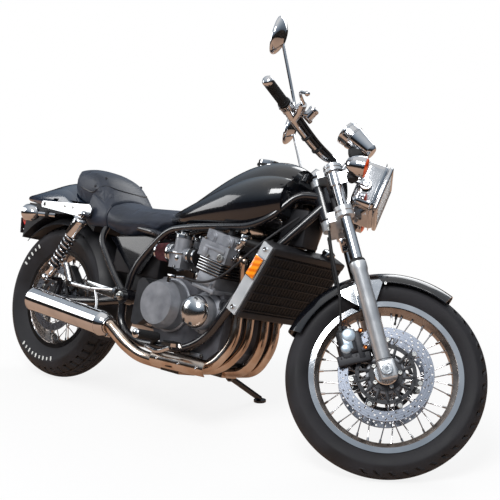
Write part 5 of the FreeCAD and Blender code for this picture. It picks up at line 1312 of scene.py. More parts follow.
def make_radiator_trim():
    """The radiator's fins and frame, its bolts and filler, and the side reflectors."""
    centre, turn, along, ahead = radiator_frame()
    core, shroud, bright, glass = meshes(4)
    for up in stepped(CORE_ROWS, ROW_PITCH):
        slab(core, centre + along * up + ahead * 25.5, (4, 366, 1.6), turn, 0)
    for y in stepped(CORE_TUBES, TUBE_PITCH):
        slab(core, centre + Y_AXIS * y + ahead * 26, (5, 3, 220), turn, 0)
    for sign in SIGNS:
        slab(shroud, centre + along * sign * 122 + ahead * 10, (44, 404, 26), turn, 6, 3)
        slab(shroud, centre + Y_AXIS * sign * 192 + ahead * 16, (28, 18, 262), turn, 5, 3)
    for up in stepped(GRILLE_BARS, GRILLE_PITCH):
        slab(shroud, centre + along * up + ahead * 31, (4, 384, 3.4), turn, 1)
    for sign, out in SIDEWAYS:
        face = centre + out * 208
        for place in (-112, 112):
            socket_bolt(bright, face + along * place, out, 8, 5)
        slab(bright, face + along * 44 + out * 1, (41, 5, 82), turn, 2)
        slab(glass, face + along * 44 + out * 4.5, (35, 8, 74), turn, 3, 3)
    neck = centre + along * 150 + Y_AXIS * 120
    bar(shroud, neck - along * 22, neck, 22)
    lathe(bright, [(0, 10), (17, 10), (22, 7), (24, 0), (24, -6)], neck, along, 32)
    piece("radiator_fins", core, "chassis", "radiator_black")
    piece("radiator_shroud", shroud, "chassis", "plastic")
    piece("radiator_bolts", bright, "chassis", "polished")
    piece("side_reflectors", glass, "chassis", "reflector")


make_cylinders()
make_head_trim()
make_thermostat()
make_engine_covers()
make_clutch_lift()
make_intake_trim()
make_filters()
make_exhaust_trim()
make_radiator_trim()


# ---- Fork, fender and bars ----
# How far out the legs stand, and the sliders' upper ends.
LEG_Y = 100
SLIDER_TOP = 364
# The brake hoses' control points. Columns: up the fork, out, ahead.
BRAKE_HOSE_ROUTE = ((526, 60, -57.5), (430, 82, -72), (300, 92, -76), (215, 84, -92),
                    (158, 69.5, -108))
# The front fender: its crown's radius about the axle, its section's radius and half angle, its ends
# in degrees, its wall and its steps round the wheel, round the section and along the edge.
FENDER_RADIUS = 346
FENDER_ARC_RADIUS = 64.8
FENDER_HALF_ARC = 73.0
FENDER_FROM, FENDER_TO = 66, 170
FENDER_WALL = 2.6
FENDER_STEPS, FENDER_ARC_STEPS, EDGE_STEPS = 56, 24, 24
# The braces' outlines ahead of the leg and behind it. Columns: up the leg, ahead of it.
BRACE_AHEAD = ((228, 20), (238, 32), (290, 64), (302, 58), (308, 22))
BRACE_BEHIND = ((226, -22), (304, -24), (294, -74), (276, -74), (244, -44))
BRACE_Y, BRACE_WALL = 66, 4


def plate(bm, corners, thick):
    """A flat plate: its outline and the step through its thickness."""
    face = bm.faces.new([bm.verts.new(corner) for corner in corners])
    bmesh.ops.translate(bm, verts=pushed(bm, [face]), vec=thick)


def make_sliders():
    """Turned sliders with a collar, a dust seal and a square foot that holds the axle."""
    legs, seals, rings, bright = meshes(4)
    for sign, out in SIDEWAYS:
        y = sign * LEG_Y
        end = FRONT_AXLE + out * 135
        lathe(legs, [(0, -22), (24, -22), (25, -18), (25, 330), (27.5, 338), (27.5, 360),
                     (26.5, SLIDER_TOP - 1), (20, SLIDER_TOP - 1)], fork(0, y), STEER_UP, 72)
        slab(legs, fork(1, y, 4), (53, 51, 62), RAKED, 8, 4)
        washer(seals, fork(34, y), STEER_UP, 20, 25.5, 2.4, 48)
        lathe(seals, [(26, 0), (26.4, 4), (24, 9), (20.4, 12)], fork(SLIDER_TOP, y), STEER_UP, 48)
        lathe(rings, [(6.4, -6), (6.4, 1.6), (11.5, 1.6), (12, 0.4), (15, 0.4), (15.6, 1.8),
                      (19, 1.6), (19.4, -3)], end, out, 40)
        bar(seals, end - out * 7, end - out * 3, 6.4, sides=6)
        hex_bolt(rings, fork(-29, y, -6), -STEER_UP)
        lathe(bright, [(16, 73.5), (35, 73.5), (38, 71), (38, 64)], FRONT_AXLE, out, 64)
    piece("slider_legs", legs, "fork", "satin", ("fork_sliders",))
    piece("slider_seals", seals, "fork", "grip_rubber")
    piece("axle_rings", rings, "fork", "polished")
    piece("hub_end_plates", bright, "front_wheel", "polished")


def fender_place(degrees, arc, inward=0.0):
    """A point of the front fender: round the wheel, round its arched section, into its wall."""
    turn = math.radians(arc)
    arc_radius = FENDER_ARC_RADIUS - inward
    radius = FENDER_RADIUS - FENDER_ARC_RADIUS + arc_radius * math.cos(turn)
    return polar(FRONT_AXLE, radius, degrees, arc_radius * math.sin(turn))


def make_front_fender():
    """The steel fender: an arched section swept round the wheel, with a rolled edge."""
    shell = bmesh.new()
    arcs = [FENDER_HALF_ARC * place / 12 for place in stepped(FENDER_ARC_STEPS + 1, 1)]
    section = [(arc, 0) for arc in arcs] + [(arc, FENDER_WALL) for arc in reversed(arcs)]
    span = FENDER_TO - FENDER_FROM
    rings = []
    for step in range(FENDER_STEPS + 1):
        degrees = FENDER_FROM + span * step / FENDER_STEPS
        rings.append([shell.verts.new(fender_place(degrees, *place)) for place in section])
    for near, far in zip(rings, rings[1:]):
        join_loops(shell, near, far)
    shell.faces.new(rings[0])
    shell.faces.new(rings[-1])
    for sign, out in SIDEWAYS:
        hose(shell, [fender_place(FENDER_FROM + span * k / EDGE_STEPS, sign * FENDER_HALF_ARC)
                     - out for k in range(EDGE_STEPS + 1)], FENDER_WALL)
    piece("front_fender_shell", shell, "fork", "lacquer", ("front_fender",))
    braces, bolts = meshes(2)
    blocks(braces, fork, RAKED, (((262, 73, 0), (58, 14, 92), 3),), SIGNS)
    for sign, out in SIDEWAYS:
        for outline in (BRACE_AHEAD, BRACE_BEHIND):
            plate(braces, [fork(up, sign * BRACE_Y, ahead) for up, ahead in outline],
                  out * BRACE_WALL)
        for up, ahead in ((232, -12), (290, 12)):
            hex_bolt(bolts, fork(up, sign * 79, ahead), out)
        for up, ahead in ((284, 72), (280, -80)):
            socket_bolt(bolts, fork(up, sign * 70, ahead), out, 5, 4)
    piece("fender_braces", braces, "fork", "chrome")
    piece("fender_brace_bolts", bolts, "fork", "steel")


def make_brake_hoses():
    """Two free hoses from the joint on the lower clamp down to the calipers."""
    ends = bmesh.new()
    for side, sign in SIDES:
        route = [fork(up, sign * out, ahead) for up, out, ahead in BRAKE_HOSE_ROUTE]
        points = [PLACES["fork"] @ place for place in route]
        cord = free_cord(f"brake_hose_{side}", points, 9, "grip_rubber", "fork")
        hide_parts("brake_hoses")
        for end, inner in ((route[0], route[1]), (route[-1], route[-2])):
            ahead = (inner - end).normalized()
            bar(ends, end - ahead * 4, end + ahead * 22, 6.4, 5.4, 16)
            bar(ends, end + ahead * 1, end + ahead * 8, 8, sides=6)
    piece("brake_hose_ends", ends, "fork", "steel")


def make_clamp_trim():
    """Pinch bolts, the stem nut and the bar clamps' bolts."""
    bm = bmesh.new()
    lathe(bm, [(0, 10), (9, 10), (16, 9), (17, 7), (17, 0), (22, 0), (22, -4)],
          fork(716, 0, STEM), STEER_UP, 6)
    for sign in SIGNS:
        for low, high in ((526, 560), (690, 714)):
            for up in (low + 9, high - 9):
                socket_bolt(bm, fork(up, sign * (LEG_Y - 6), 31), spot(1, 0, 0.3).normalized(),
                            5, 4)
        lathe(bm, [(0, 5), (8, 5), (9, 4), (9, 2), (17, 2), (19, 0), (19, -3)],
              fork(720, sign * LEG_Y), STEER_UP, 36)
        for ahead in (4, 32):
            socket_bolt(bm, fork(764, sign * 48, ahead), STEER_UP, 5, 5)
        for up in (543, 702):
            washer(bm, fork(up, sign * LEG_Y), STEER_UP, 28, 33.5, 3, 40)
    piece("clamp_bolts", bm, "fork", "polished")


# The bar's cables. Columns: the route along the bar (up the fork, out, ahead), then each cable's
# lift over it and its distance ahead of it.
BAR_ROUTE = ((846, 258, -100), (820, 215, -82), (779, 150, -49), (750, 104, -16))
BAR_CABLES = ((4, 18), (-8, 18), (-2, 27))
GRIP_RIBS, RIB_PITCH = 30, 3.4


def make_bar_trim():
    """Grip ends and ribs, the switch housings' seams and screws, and the cables on the bar."""
    ends, ribs, screws, cables, buttons = meshes(5)
    for sign in SIGNS:
        tip = fork(908, sign * 400, -152)
        along = (tip - fork(879, sign * 290, -112)).normalized()
        end = tip + along * 4
        lathe(ends, [(0, 12), (8, 11.5), (14, 9), (17.5, 4), (18, 0), (18, -5), (16, -6)], end, along,
              40)
        for index in range(GRIP_RIBS):
            washer(ribs, end - along * (10 + RIB_PITCH * index), along, 16, 17.7, 1.7, 28, 0.4)
        washer(ribs, end - along * 114, along, 16, 20.5, 5, 40, 1.4)
        house = end - along * 138
        for step in (-17, 0, 17):
            washer(ends, house + along * step, along, 18, 23.2, 1.6, 40)
        slab(buttons, house + spot(-20, 0, 8), (12, 12, 9), RAKED, 2)
        slab(buttons, house + spot(-18, 0, -10), (10, 14, 8), RAKED, 2)
        for turn in (-1, 1):
            socket_bolt(screws, house + along * turn * 10 + spot(2, 0, -23), -Z_AXIS, 3.4, 2)
        if sign < 0:
            brake_reservoir(ends, screws, buttons, sign)
        bar(ends, fork(864, sign * 284, -74), fork(830, sign * 222, -42), 12, 8, 24)
        for up in (-9, 9):
            at = fork(846 + up, sign * 262, -84)
            socket_bolt(screws, at + STEER_AHEAD * 14, STEER_AHEAD, 4, 4)
        hex_bolt(screws, fork(864, sign * 296, -54), STEER_UP, 8, 5)
        for lift, by in BAR_CABLES:
            route = [fork(up + lift, sign * out, ahead + by) for up, out, ahead in BAR_ROUTE]
            route += [fork(706, sign * (72 + lift), 30 + lift), fork(630, sign * (54 + lift), 34),
                      fork(560, sign * (40 + lift), 4)]
            hose(cables, route, 4.2)
        hose(cables, [house - along * 12 - Z_AXIS * 20, house - along * 24 - Z_AXIS * 34,
                      fork(826, sign * 236, -70)], 4)
        way = (fork(820, sign * 215, -82) - fork(779, sign * 150, -49)).normalized()
        for up, out, ahead in ((802, 184, -62), (772, 138, -36)):
            washer(cables, fork(up, sign * out, ahead), way, 12, 20, 7, 28)
    piece("grip_ends", ends, "fork", "chrome")
    piece("grip_ribs", ribs, "fork", "grip_rubber")
    piece("control_screws", screws, "fork", "steel")
    piece("bar_cables", cables, "fork", "plastic")
    piece("switch_buttons", buttons, "fork", "plastic")


def brake_reservoir(ends, screws, glass, sign):
    """The front brake's fluid reservoir: its rim, lid screws, sight glass and hose stub."""
    top, low = fork(858, sign * 244, -22), fork(840, sign * 236, -50)
    axis = (top - low).normalized()
    lathe(ends, [(0, 4), (15, 4), (17.5, 2), (18, 0), (18, -6), (17, -7)], top, axis, 40)
    for turn in (-1, 1):
        socket_bolt(screws, top + axis * 3 + Y_AXIS * turn * 10, axis, 2.6, 2)
    lathe(glass, [(0, 1.4), (6, 1.4), (7, 0)], (top + low) / 2 - X_AXIS * 17, -X_AXIS, 24)
    bar(ends, low + axis * 12, fork(845, sign * 262, -66), 8, 10, 20)


MIRROR_HALF_HEIGHT, MIRROR_HALF_WIDTH, MIRROR_WALL = 58, 46.5, 1.5


def make_mirror_glass():
    """The silvered ovals and the stems' lock nuts."""
    glass, nuts = meshes(2)
    oval = Matrix.Rotation(math.pi / 2, 4, "Y") @ Matrix.Diagonal(
        (MIRROR_HALF_HEIGHT, MIRROR_HALF_WIDTH, 1, 1))
    for sign in SIGNS:
        place = Matrix.Translation(FRONT_AXLE + spot(-626.6, sign * 330, 925))
        verts = bmesh.ops.create_circle(glass, cap_ends=True, segments=64, radius=1,
                                        matrix=place @ oval)["verts"]
        bmesh.ops.translate(glass, verts=pushed(glass, [verts[0].link_faces[0]]),
                            vec=X_AXIS * MIRROR_WALL)
        foot = fork(846, sign * 262, -86)
        up = (FRONT_AXLE + spot(-510, sign * 268, 740) - foot).normalized()
        bar(nuts, foot + up * 12, foot + up * 20, 10, sides=6)
        bar(nuts, foot + up * 20, foot + up * 34, 7.5, 6, 20)
    piece("mirror_glass", glass, "fork", "mirror_glass")
    piece("mirror_nuts", nuts, "fork", "chrome")


# The headlamp's lens: its face's distance from the shell's middle, ribs and their pitch.
LENS_AHEAD, LENS_RIBS, LENS_RIB_PITCH = 41, 13, 12


def make_headlamp_trim():
    """The rectangular lens behind a chrome bezel, its ears' bolts and the shell's seam."""
    bezel, lens, bowl, bolts, boots = meshes(5)
    nod = Matrix.Rotation(math.radians(6), 3, "Y")
    centre = FRONT_AXLE + spot(-212, 0, 595)

    def on_face(ahead, side, up):
        return centre + nod @ spot(LENS_AHEAD + ahead, side, up)

    slab(bowl, on_face(1, 0, 0), (8, 172, 144), nod, 3.5, 4)
    slab(lens, on_face(6, 0, 0), (7, 164, 136), nod, 3.4, 4)
    blocks(lens, on_face, nod,
           [((9.5, y, 0), (1.6, 3, 124), 0.6) for y in stepped(LENS_RIBS, LENS_RIB_PITCH)])
    for sign in SIGNS:
        slab(bezel, on_face(4, 0, sign * 77), (14, 186, 12), nod, 5, 4)
        slab(bezel, on_face(4, sign * 91, 0), (14, 12, 158), nod, 5, 4)
    slab(bezel, on_face(-15, 0, 0), (2.6, 201, 173), nod, 1.2)
    for sign, out in SIDEWAYS:
        ear = fork(658, sign * 118, 46)
        side_face = FRONT_AXLE + spot(-225, sign * 108, 586)
        lathe(bolts, [(0, 6), (3, 6), (4, 8), (9, 8), (10, 6.5), (12, 6), (13, 4), (19, 4), (21, 2),
                      (21, -6)], side_face, out, 40)
        slab(bolts, (side_face + ear) / 2 - out * 2, (62, 8, 26), about_axle(-9), 3)
        lathe(boots, [(0, 22), (16, 22), (19, 18), (20, 2), (17, -8), (12, -18), (0, -18)],
              FRONT_AXLE + spot(-262, sign * 214, 552), spot(0, -sign * 0.5, 1).normalized(), 32)
    piece("headlamp_bezel", bezel, "fork", "chrome")
    piece("headlamp_bowl", bowl, "fork", "mirror_glass")
    piece("headlamp_lens", lens, "fork", "clear_lens")
    piece("headlamp_bolts", bolts, "fork", "polished")
    piece("signal_boots", boots, "fork", "grip_rubber")


# The dial: how many marks over what sweep in degrees, and how long the long and short ones are.
DIAL_MARKS, DIAL_SWEEP = 41, 270
LONG_EVERY, LONG_MARK, SHORT_MARK = 4, 7, 4


def make_speedometer_trim():
    """Rim, glass, dial and needle, the shell's seam and the rubber foot under it."""
    rim, dial, marks, glass, foot = meshes(5)
    nose = spot(0.884, 0, -0.467)
    centre = FRONT_AXLE + spot(-352, 0, 803.5)
    face = centre - nose * 1.2
    up = Y_AXIS.cross(nose)

    def on_dial(degrees):
        """The way out to that place on the dial, and the turn of a mark there."""
        turn = math.radians(degrees)
        way = up * math.cos(turn) - Y_AXIS * math.sin(turn)
        return way, Matrix((nose, way.cross(nose), way)).transposed()

    lathe(rim, [(38, -2), (38, 3.5), (41, 4.5), (44.2, 2), (44.6, -4), (43.2, -8)], centre, -nose, 72)
    for along, radius in ((31, 43.8), (36, 43.2)):
        washer(rim, centre + nose * along, nose, radius - 4, radius, 1.6, 72)
    bar(dial, centre - nose * 0.2, centre - nose, 38, sides=64)
    for index in range(DIAL_MARKS):
        way, turn = on_dial(DIAL_SWEEP * (index / (DIAL_MARKS - 1) - 0.5))
        long = SHORT_MARK if index % LONG_EVERY else LONG_MARK
        slab(marks, face + way * (35 - long / 2), (0.4, 1.2, long), turn, 0)
    needle, turn = on_dial(-DIAL_SWEEP / 2)
    slab(marks, face - nose + needle * 13, (0.5, 1.4, 26), turn, 0)
    slab(marks, face - up * 15, (0.4, 22, 6), RAKED, 0)
    lathe(marks, [(0, 2), (4, 2), (5, 0)], face, -nose, 24)
    lathe(glass, [(0, 3.6), (20, 3.4), (37.8, 2.4), (37.8, 1.6), (0, 2.6)], centre, -nose, 48)
    slab(foot, centre + nose * 58 - Z_AXIS * 44, (46, 40, 36), RAKED, 6, 3)
    piece("speedometer_rim", rim, "fork", "chrome")
    piece("speedometer_dial", dial, "fork", "dial_paper")
    piece("speedometer_print", marks, "fork", "print_white")
    piece("speedometer_glass", glass, "fork", "clear_lens")
    piece("speedometer_foot", foot, "fork", "grip_rubber")


def signal_lens(lenses, rims, face, way):
    """A turn signal's domed lens and the rim round it."""
    lathe(lenses, [(0, 10), (14, 9.4), (25, 7), (32, 3), (34, -1), (34, -4)], face, way, 48)
    lathe(rims, [(33, 1), (35.8, 0.6), (36.2, -2), (35, -8)], face, way, 48)


def make_front_signal_lenses():
    """The front turn signals' lenses, their rims and the screws under them."""
    lenses, rims = meshes(2)
    for sign in SIGNS:
        face = FRONT_AXLE + spot(-229, sign * 240, 582)
        signal_lens(lenses, rims, face, X_AXIS)
        socket_bolt(rims, face + spot(-52, 0, -30), -Z_AXIS, 4, 3)
    piece("front_signal_lenses", lenses, "fork", "amber_lens")
    piece("front_signal_rims", rims, "fork", "chrome")


def make_horn_trim():
    """The rings pressed into the horn's face, and the wiring boxes above it."""
    bm = bmesh.new()
    face = fork(478, 0, 2)
    for radius in (8, 15, 22, 29):
        washer(bm, face, STEER_AHEAD, radius - 1.6, radius, 3, 40)
    lathe(bm, [(0, 5), (5, 5), (6, 2), (6, 0)], face, STEER_AHEAD, 24)
    piece("horn_rings", bm, "fork", "polished")
    boxes = bmesh.new()
    slab(boxes, fork(598, 0, -6), (40, 96, 60), RAKED, 6, 3)
    blocks(boxes, fork, RAKED, (((625, 62, 14), (26, 24, 44), 4),), SIGNS)
    piece("wiring_boxes", boxes, "fork", "plastic")


make_sliders()
make_front_fender()
make_brake_hoses()
make_clamp_trim()
make_bar_trim()
make_mirror_glass()
make_headlamp_trim()
make_speedometer_trim()
make_front_signal_lenses()
make_horn_trim()


# ---- Rear end, bodywork and controls ----
# The shocks' ends and how far out they stand; the covers' lower end and the bodies' length along
# them; the coils, the steps of a coil, its radius and the wire's.
SHOCK_TOP, SHOCK_LOW = spot(210, 0, 675), spot(60, 0, 405)
SHOCK_Y = 178
COVER_TO = 100
BODY_LENGTH = 62
COILS, COIL_STEPS = 8, 12
COIL_RADIUS, WIRE_RADIUS = 22.5, 4.2


def make_shocks():
    """Chrome spring covers, open coils over a dark damper, and bright bodies with forked ends."""
    covers, coils, damper, bodies, eyes = meshes(5)
    run = (SHOCK_LOW - SHOCK_TOP).normalized()
    length = (SHOCK_LOW - SHOCK_TOP).length
    across = run.cross(Y_AXIS).normalized()
    spring_from, spring_to = COVER_TO - 6, length - BODY_LENGTH + 4
    for out in (-Y_AXIS, Y_AXIS):
        top, low = SHOCK_TOP + out * SHOCK_Y, SHOCK_LOW + out * SHOCK_Y
        lathe(covers, [(9, 14), (19, 16), (27, 24), (28, 28), (28, 34), (26.2, 35), (26.2, 38),
                       (28, 39), (28, COVER_TO - 2), (27, COVER_TO), (20, COVER_TO - 1)],
              top, run, 56)
        bar(damper, top + run * COVER_TO, top + run * spring_to, 13, sides=32)
        helix = []
        for step in range(COILS * COIL_STEPS + 1):
            angle = 2 * math.pi * step / COIL_STEPS
            along = spring_from + (spring_to - spring_from) * step / (COILS * COIL_STEPS)
            spoke = across * math.cos(angle) + Y_AXIS * math.sin(angle)
            helix.append(top + run * along + spoke * COIL_RADIUS)
        hose(coils, helix, WIRE_RADIUS, 3, 3)
        start = length - BODY_LENGTH
        lathe(bodies, [(12, start - 2), (27.4, start), (27.4, start + 6), (24, start + 7),
                       (24, start + 11), (22, start + 13), (22, length - 22), (18, length - 14),
                       (9, length - 12)], top, run, 56)
        for end in (top, low):
            lathe(eyes, [(9.2, -13), (15, -13), (16, -12), (16, 12), (15, 13), (9.2, 13)], end,
                  Y_AXIS, 40)
        for turn in (-1, 1):
            slab(eyes, low - run * 8 + Y_AXIS * turn * 10, (24, 5, 30), None, 3)
        for end in (top, low):
            lathe(eyes, [(0, 27), (6, 26.5), (9, 24), (9.6, 21), (13, 21), (13.4, 19), (13.4, 14)],
                  end, out, 6 if end == low else 32)
    piece("shock_covers", covers, "chassis", "chrome", ("rear_shocks",))
    piece("shock_coils", coils, "chassis", "chrome")
    piece("shock_dampers", damper, "chassis", "cast_dark")
    piece("shock_bodies", bodies, "chassis", "chrome")
    piece("shock_eyes", eyes, "chassis", "polished")


def make_strut_trim():
    """The fender struts' screws, a black disc of painted shade for the hole at their tail, and the pegs'
    screws.
    """
    screws, dark = meshes(2)
    for sign, out in SIDEWAYS:
        face = sign * 160
        for ahead in (60, 110):
            socket_bolt(screws, spot(ahead, face, 700), out, 5.2, 2.6)
        # A flat black disc on the strut's face: painted shade for the hole.
        lathe(dark, [(0, 0.6), (6, 0.6), (6.4, 0), (6.4, -2)], spot(-72, face, 698), out, 28)
        lathe(screws, [(6.4, 0.8), (9, 0.8), (9.6, 0), (9.6, -2)], spot(-72, face, 698), out, 28)
        plate_face = sign * (158 + 22 + 3.5)
        for ahead in (-60, -172):
            hex_bolt(screws, pivot(ahead, plate_face, 8 - ahead * 0.01), out)
        lathe(screws, [(0, 14), (5, 14), (9, 12), (12, 7), (12.6, 2), (17, 1), (18, -2)],
              spot(517, sign * 190, 396), out, 40)
    piece("strut_screws", screws, "chassis", "steel")
    piece("strut_hole_painted_shade", dark, "chassis", "plastic")


# The undertray's ends, top and half width, and the steps of its arc over the fender.
UNDERTRAY_FRONT, UNDERTRAY_REAR = 196, -262
UNDERTRAY_TOP = 700
UNDERTRAY_HALF = 94
UNDERTRAY_STEPS = 24
# The arc's radius about the rear axle, and its ends in degrees.
UNDERTRAY_RADIUS = 352
UNDERTRAY_FROM, UNDERTRAY_TO = 140, 58


def make_tail_lights():
    """The tail lamp's ribs and trim, the rear turn signals' lenses and the rubbers at the tail."""
    lens, bright, amber, dark = meshes(4)
    for index in range(9):
        slab(lens, spot(-341, 0, 618 + 8 * index), (4, 82 - abs(index - 4) * 3, 2), None, 0.6)
    slab(bright, spot(-335, 0, 654), (5, 104, 5), None, 1.5)
    blocks(dark, spot, None, (((-329, 66, 608), (9, 8, 5), 1.5),), SIGNS)
    for sign in SIGNS:
        socket_bolt(bright, spot(-338, sign * 30, 654), -X_AXIS, 4, 2)
        signal_lens(amber, bright, spot(-185, sign * 150, 654), -X_AXIS)
        lathe(dark, [(9.5, 0), (14, 2), (15, 10), (12, 16), (9.5, 17)],
              spot(-90, sign * 129, 658), spot(1, -sign * 0.34, 0.05), 28)
    piece("tail_lens_ribs", lens, "chassis", "red_lens")
    piece("tail_light_trim", bright, "chassis", "chrome")
    piece("rear_signal_lenses", amber, "chassis", "amber_lens")
    piece("tail_rubbers", dark, "chassis", "grip_rubber")


def make_undertray():
    """The dark tray that closes the gap between the tail cowl and the rear fender."""
    tray = bmesh.new()
    outline = [(UNDERTRAY_FRONT, UNDERTRAY_TOP), (UNDERTRAY_REAR, UNDERTRAY_TOP)]
    for step in range(UNDERTRAY_STEPS + 1):
        degrees = UNDERTRAY_FROM + (UNDERTRAY_TO - UNDERTRAY_FROM) * step / UNDERTRAY_STEPS
        place = polar(REAR_AXLE, UNDERTRAY_RADIUS, degrees, 0)
        outline.append((place.x, place.z))
    near, far = ([tray.verts.new((ahead, sign * UNDERTRAY_HALF, up)) for ahead, up in outline]
                 for sign in SIGNS)
    tray.faces.new(near)
    tray.faces.new(far)
    join_loops(tray, near, far)
    piece("undertray", tray, "chassis", "plastic")


def make_pillion_plates():
    """The polished plates that carry the pillion pegs."""
    plates = bmesh.new()
    blocks(plates, pivot, about_axle(-4), (((-120, 184, 8), (165, 6, 36), 2.5, 3),), SIGNS)
    piece("pillion_plates", plates, "chassis", "polished")


# Hidden boxes. Columns: (ahead, out, up) of the middle, size, edge.
INNER_BOXES = (((470, 0, 560), (260, 196, 160), 12), ((510, 0, 460), (180, 180, 80), 12),
               ((1150, 0, 745), (110, 92, 130), 10))


def make_inner_boxes():
    """Dark boxes behind the side panels and behind the steering head, where the battery, the air
    box and the wiring are."""
    boxes = bmesh.new()
    blocks(boxes, spot, None, INNER_BOXES)
    piece("inner_boxes", boxes, "chassis", "plastic")


def make_left_covers():
    """Rings, bright centres and screws on the alternator and gear covers."""
    rings, bright, screws = meshes(3)
    centre, gear = crank(2, CASE_HALF, 0), crank(-190, 184, -10)
    lathe(rings, [(60, 60), (62, 56), (62, 14), (76, 8), (78, 4), (78, -4)], centre, Y_AXIS, 72)
    lathe(bright, [(0, 94), (34, 93.6), (42, 91), (44, 86)], centre, Y_AXIS, 64)
    for degrees in range(0, 360, 60):
        hex_bolt(screws, polar(centre, 70, degrees, 8), Y_AXIS, 8, 5)
        hex_bolt(screws, polar(gear, 50, degrees, 0), Y_AXIS, 8, 5)
    washer(rings, gear - Y_AXIS * 2, Y_AXIS, 36, 46, 6, 56)
    lathe(bright, [(0, 8), (14, 8), (18, 5), (19, 0), (19, -4)], gear, Y_AXIS, 36)
    piece("left_cover_rings", rings, "chassis", "cast")
    piece("left_cover_discs", bright, "chassis", "polished")
    piece("left_cover_screws", screws, "chassis", "steel")


CAP_TOP = 972.4


def make_tank_trim():
    """The filler cap's rings, its key flap and its seal."""
    bright, dark = meshes(2)
    upright = PLACES["chassis"].inverted()
    low, high = (upright @ Vector(corner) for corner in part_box("fuel_cap"))
    place = spot((low.x + high.x) / 2, 0, CAP_TOP)
    lathe(bright, [(0, 2.2), (14, 2.2), (15, 1.2), (26, 1.2), (27, 2.4), (34, 2), (36.6, 0),
                   (37, -4), (37, -12)], place, Z_AXIS, 64)
    slab(bright, place + Z_AXIS * 3, (26, 13, 2.4), None, 1)
    lathe(dark, [(0, 4.6), (2.4, 4.6), (2.8, 4.2)], place, Z_AXIS, 16)
    lathe(dark, [(36.8, -12), (40, -12), (41, -15), (41, -20)], place, Z_AXIS, 64)
    piece("filler_cap_rings", bright, "chassis", "chrome")
    piece("filler_cap_seal", dark, "chassis", "grip_rubber")


def make_foot_trim():
    """Ribs on all the pegs, the pedal and the shift lever, and the pegs' ends."""
    rubber, bright = meshes(2)
    for sign in SIGNS:
        start = spot(748, sign * 186, 282)
        end = spot(742, sign * 290, 286)
        along = (end - start).normalized()
        for index in range(12):
            washer(rubber, start + along * (8 + 7.6 * index), along, 14, 17.4, 4.2, 28, 1)
        lathe(bright, [(0, 5), (8, 5), (14, 3), (16.6, 0), (16.6, -4)], end, along, 32)
        low, high = pivot(-306, sign * 180, 10), pivot(-352, sign * 180, 76)
        way = (high - low).normalized()
        for index in range(9):
            washer(bright, low + way * (12 + 7 * index), way, 12, 14.2, 2.4, 24, 0.6)
        globe(bright, high, 13.2, (1, 1, 0.6))
    for index in range(6):
        slab(rubber, spot(866 + 7 * index, -246, 283), (3.4, 50, 5), None, 1)
    for index in range(7):
        washer(rubber, spot(878, 236 + 7 * index, 286), Y_AXIS, 6, 10, 4, 20, 0.8)
    piece("peg_ribs", rubber, "chassis", "grip_rubber")
    piece("peg_ends", bright, "chassis", "chrome")


# The rims' sections as in the CAD: wall, depth of the well, its half width, the bead seat's width.
RIM_WALL, WELL_DEPTH, WELL_HALF, SEAT_WIDTH = 3, 15, 15, 10
# How far the plate stands inside the rim, and how thick it is.
PLATE_GAP, PLATE_WALL = 0.2, 0.8


def make_rim_wells():
    """A duller, darker brown-grey plate in the well of each rim."""
    for end, centre, bead, half in (("front", FRONT_AXLE, 229, 37), ("rear", REAR_AXLE, 190.5, 54)):
        bm = bmesh.new()
        seat = bead - RIM_WALL - PLATE_GAP
        floor = seat - WELL_DEPTH
        shoulder, well = half - SEAT_WIDTH, WELL_HALF + RIM_WALL
        side = [(seat, shoulder + 6), (seat, shoulder), (floor, well)]
        outline = side + [(radius, -along) for radius, along in reversed(side)]
        inner = [(radius - PLATE_WALL, along) for radius, along in reversed(outline)]
        lathe(bm, outline + inner + outline[:1], centre, Y_AXIS, 120)
        piece(f"{end}_rim_well", bm, f"{end}_wheel", "well_plate")


# Caliper bodies. Columns: (up, out, ahead), size, edge and segments.
CALIPER_BLOCKS = (((124, 57.5, -92), (62, 44, 84), 13, 4), ((90, 57.5, -104), (40, 44, 50), 12, 4))


def make_caliper_bodies():
    """Rounded cast bodies where the part has plain blocks."""
    bm = bmesh.new()
    blocks(bm, fork, RAKED, CALIPER_BLOCKS, SIGNS)
    for sign in SIGNS:
        for up in (104, 142):
            bar(bm, fork(up, sign * 34, -92), fork(up, sign * 40, -92), 17)
    piece("caliper_bodies", bm, "fork", "cast_dark", ("front_calipers",))


make_shocks()
make_strut_trim()
make_tail_lights()
make_undertray()
make_pillion_plates()
make_inner_boxes()
make_left_covers()
make_tank_trim()
make_foot_trim()
make_rim_wells()
make_caliper_bodies()


# ---- Seats ----
# Sections across the machine. Columns: ahead, bottom, shoulder, top, half widths at the bottom,
# the middle and the shoulder.
RIDER_ROWS = ((612, 690, 734, 757, 76, 86, 60), (520, 650, 730, 752, 100, 122, 84),
              (400, 630, 728, 750, 132, 150, 106), (303, 640, 744, 768, 136, 152, 110))
PILLION_ROWS = ((302, 650, 742, 764, 134, 148, 112), (276, 676, 766, 790, 130, 142, 114),
                (230, 700, 814, 836, 124, 136, 114), (178, 712, 848, 864, 118, 130, 112),
                (110, 728, 862, 876, 110, 122, 106), (60, 744, 864, 877, 102, 114, 100),
                (30, 764, 861, 872, 94, 106, 94))
# The remesh's grain, and how far the pressure may move a point, in metres; its force and frames.
VOXEL = 0.006
PUFF_CAP = 0.006
PUFF_FORCE, PUFF_FRAMES = 4, 20
# What the loft stands inside the finished pad, in millimetres.
PAD_INSET = 4.0


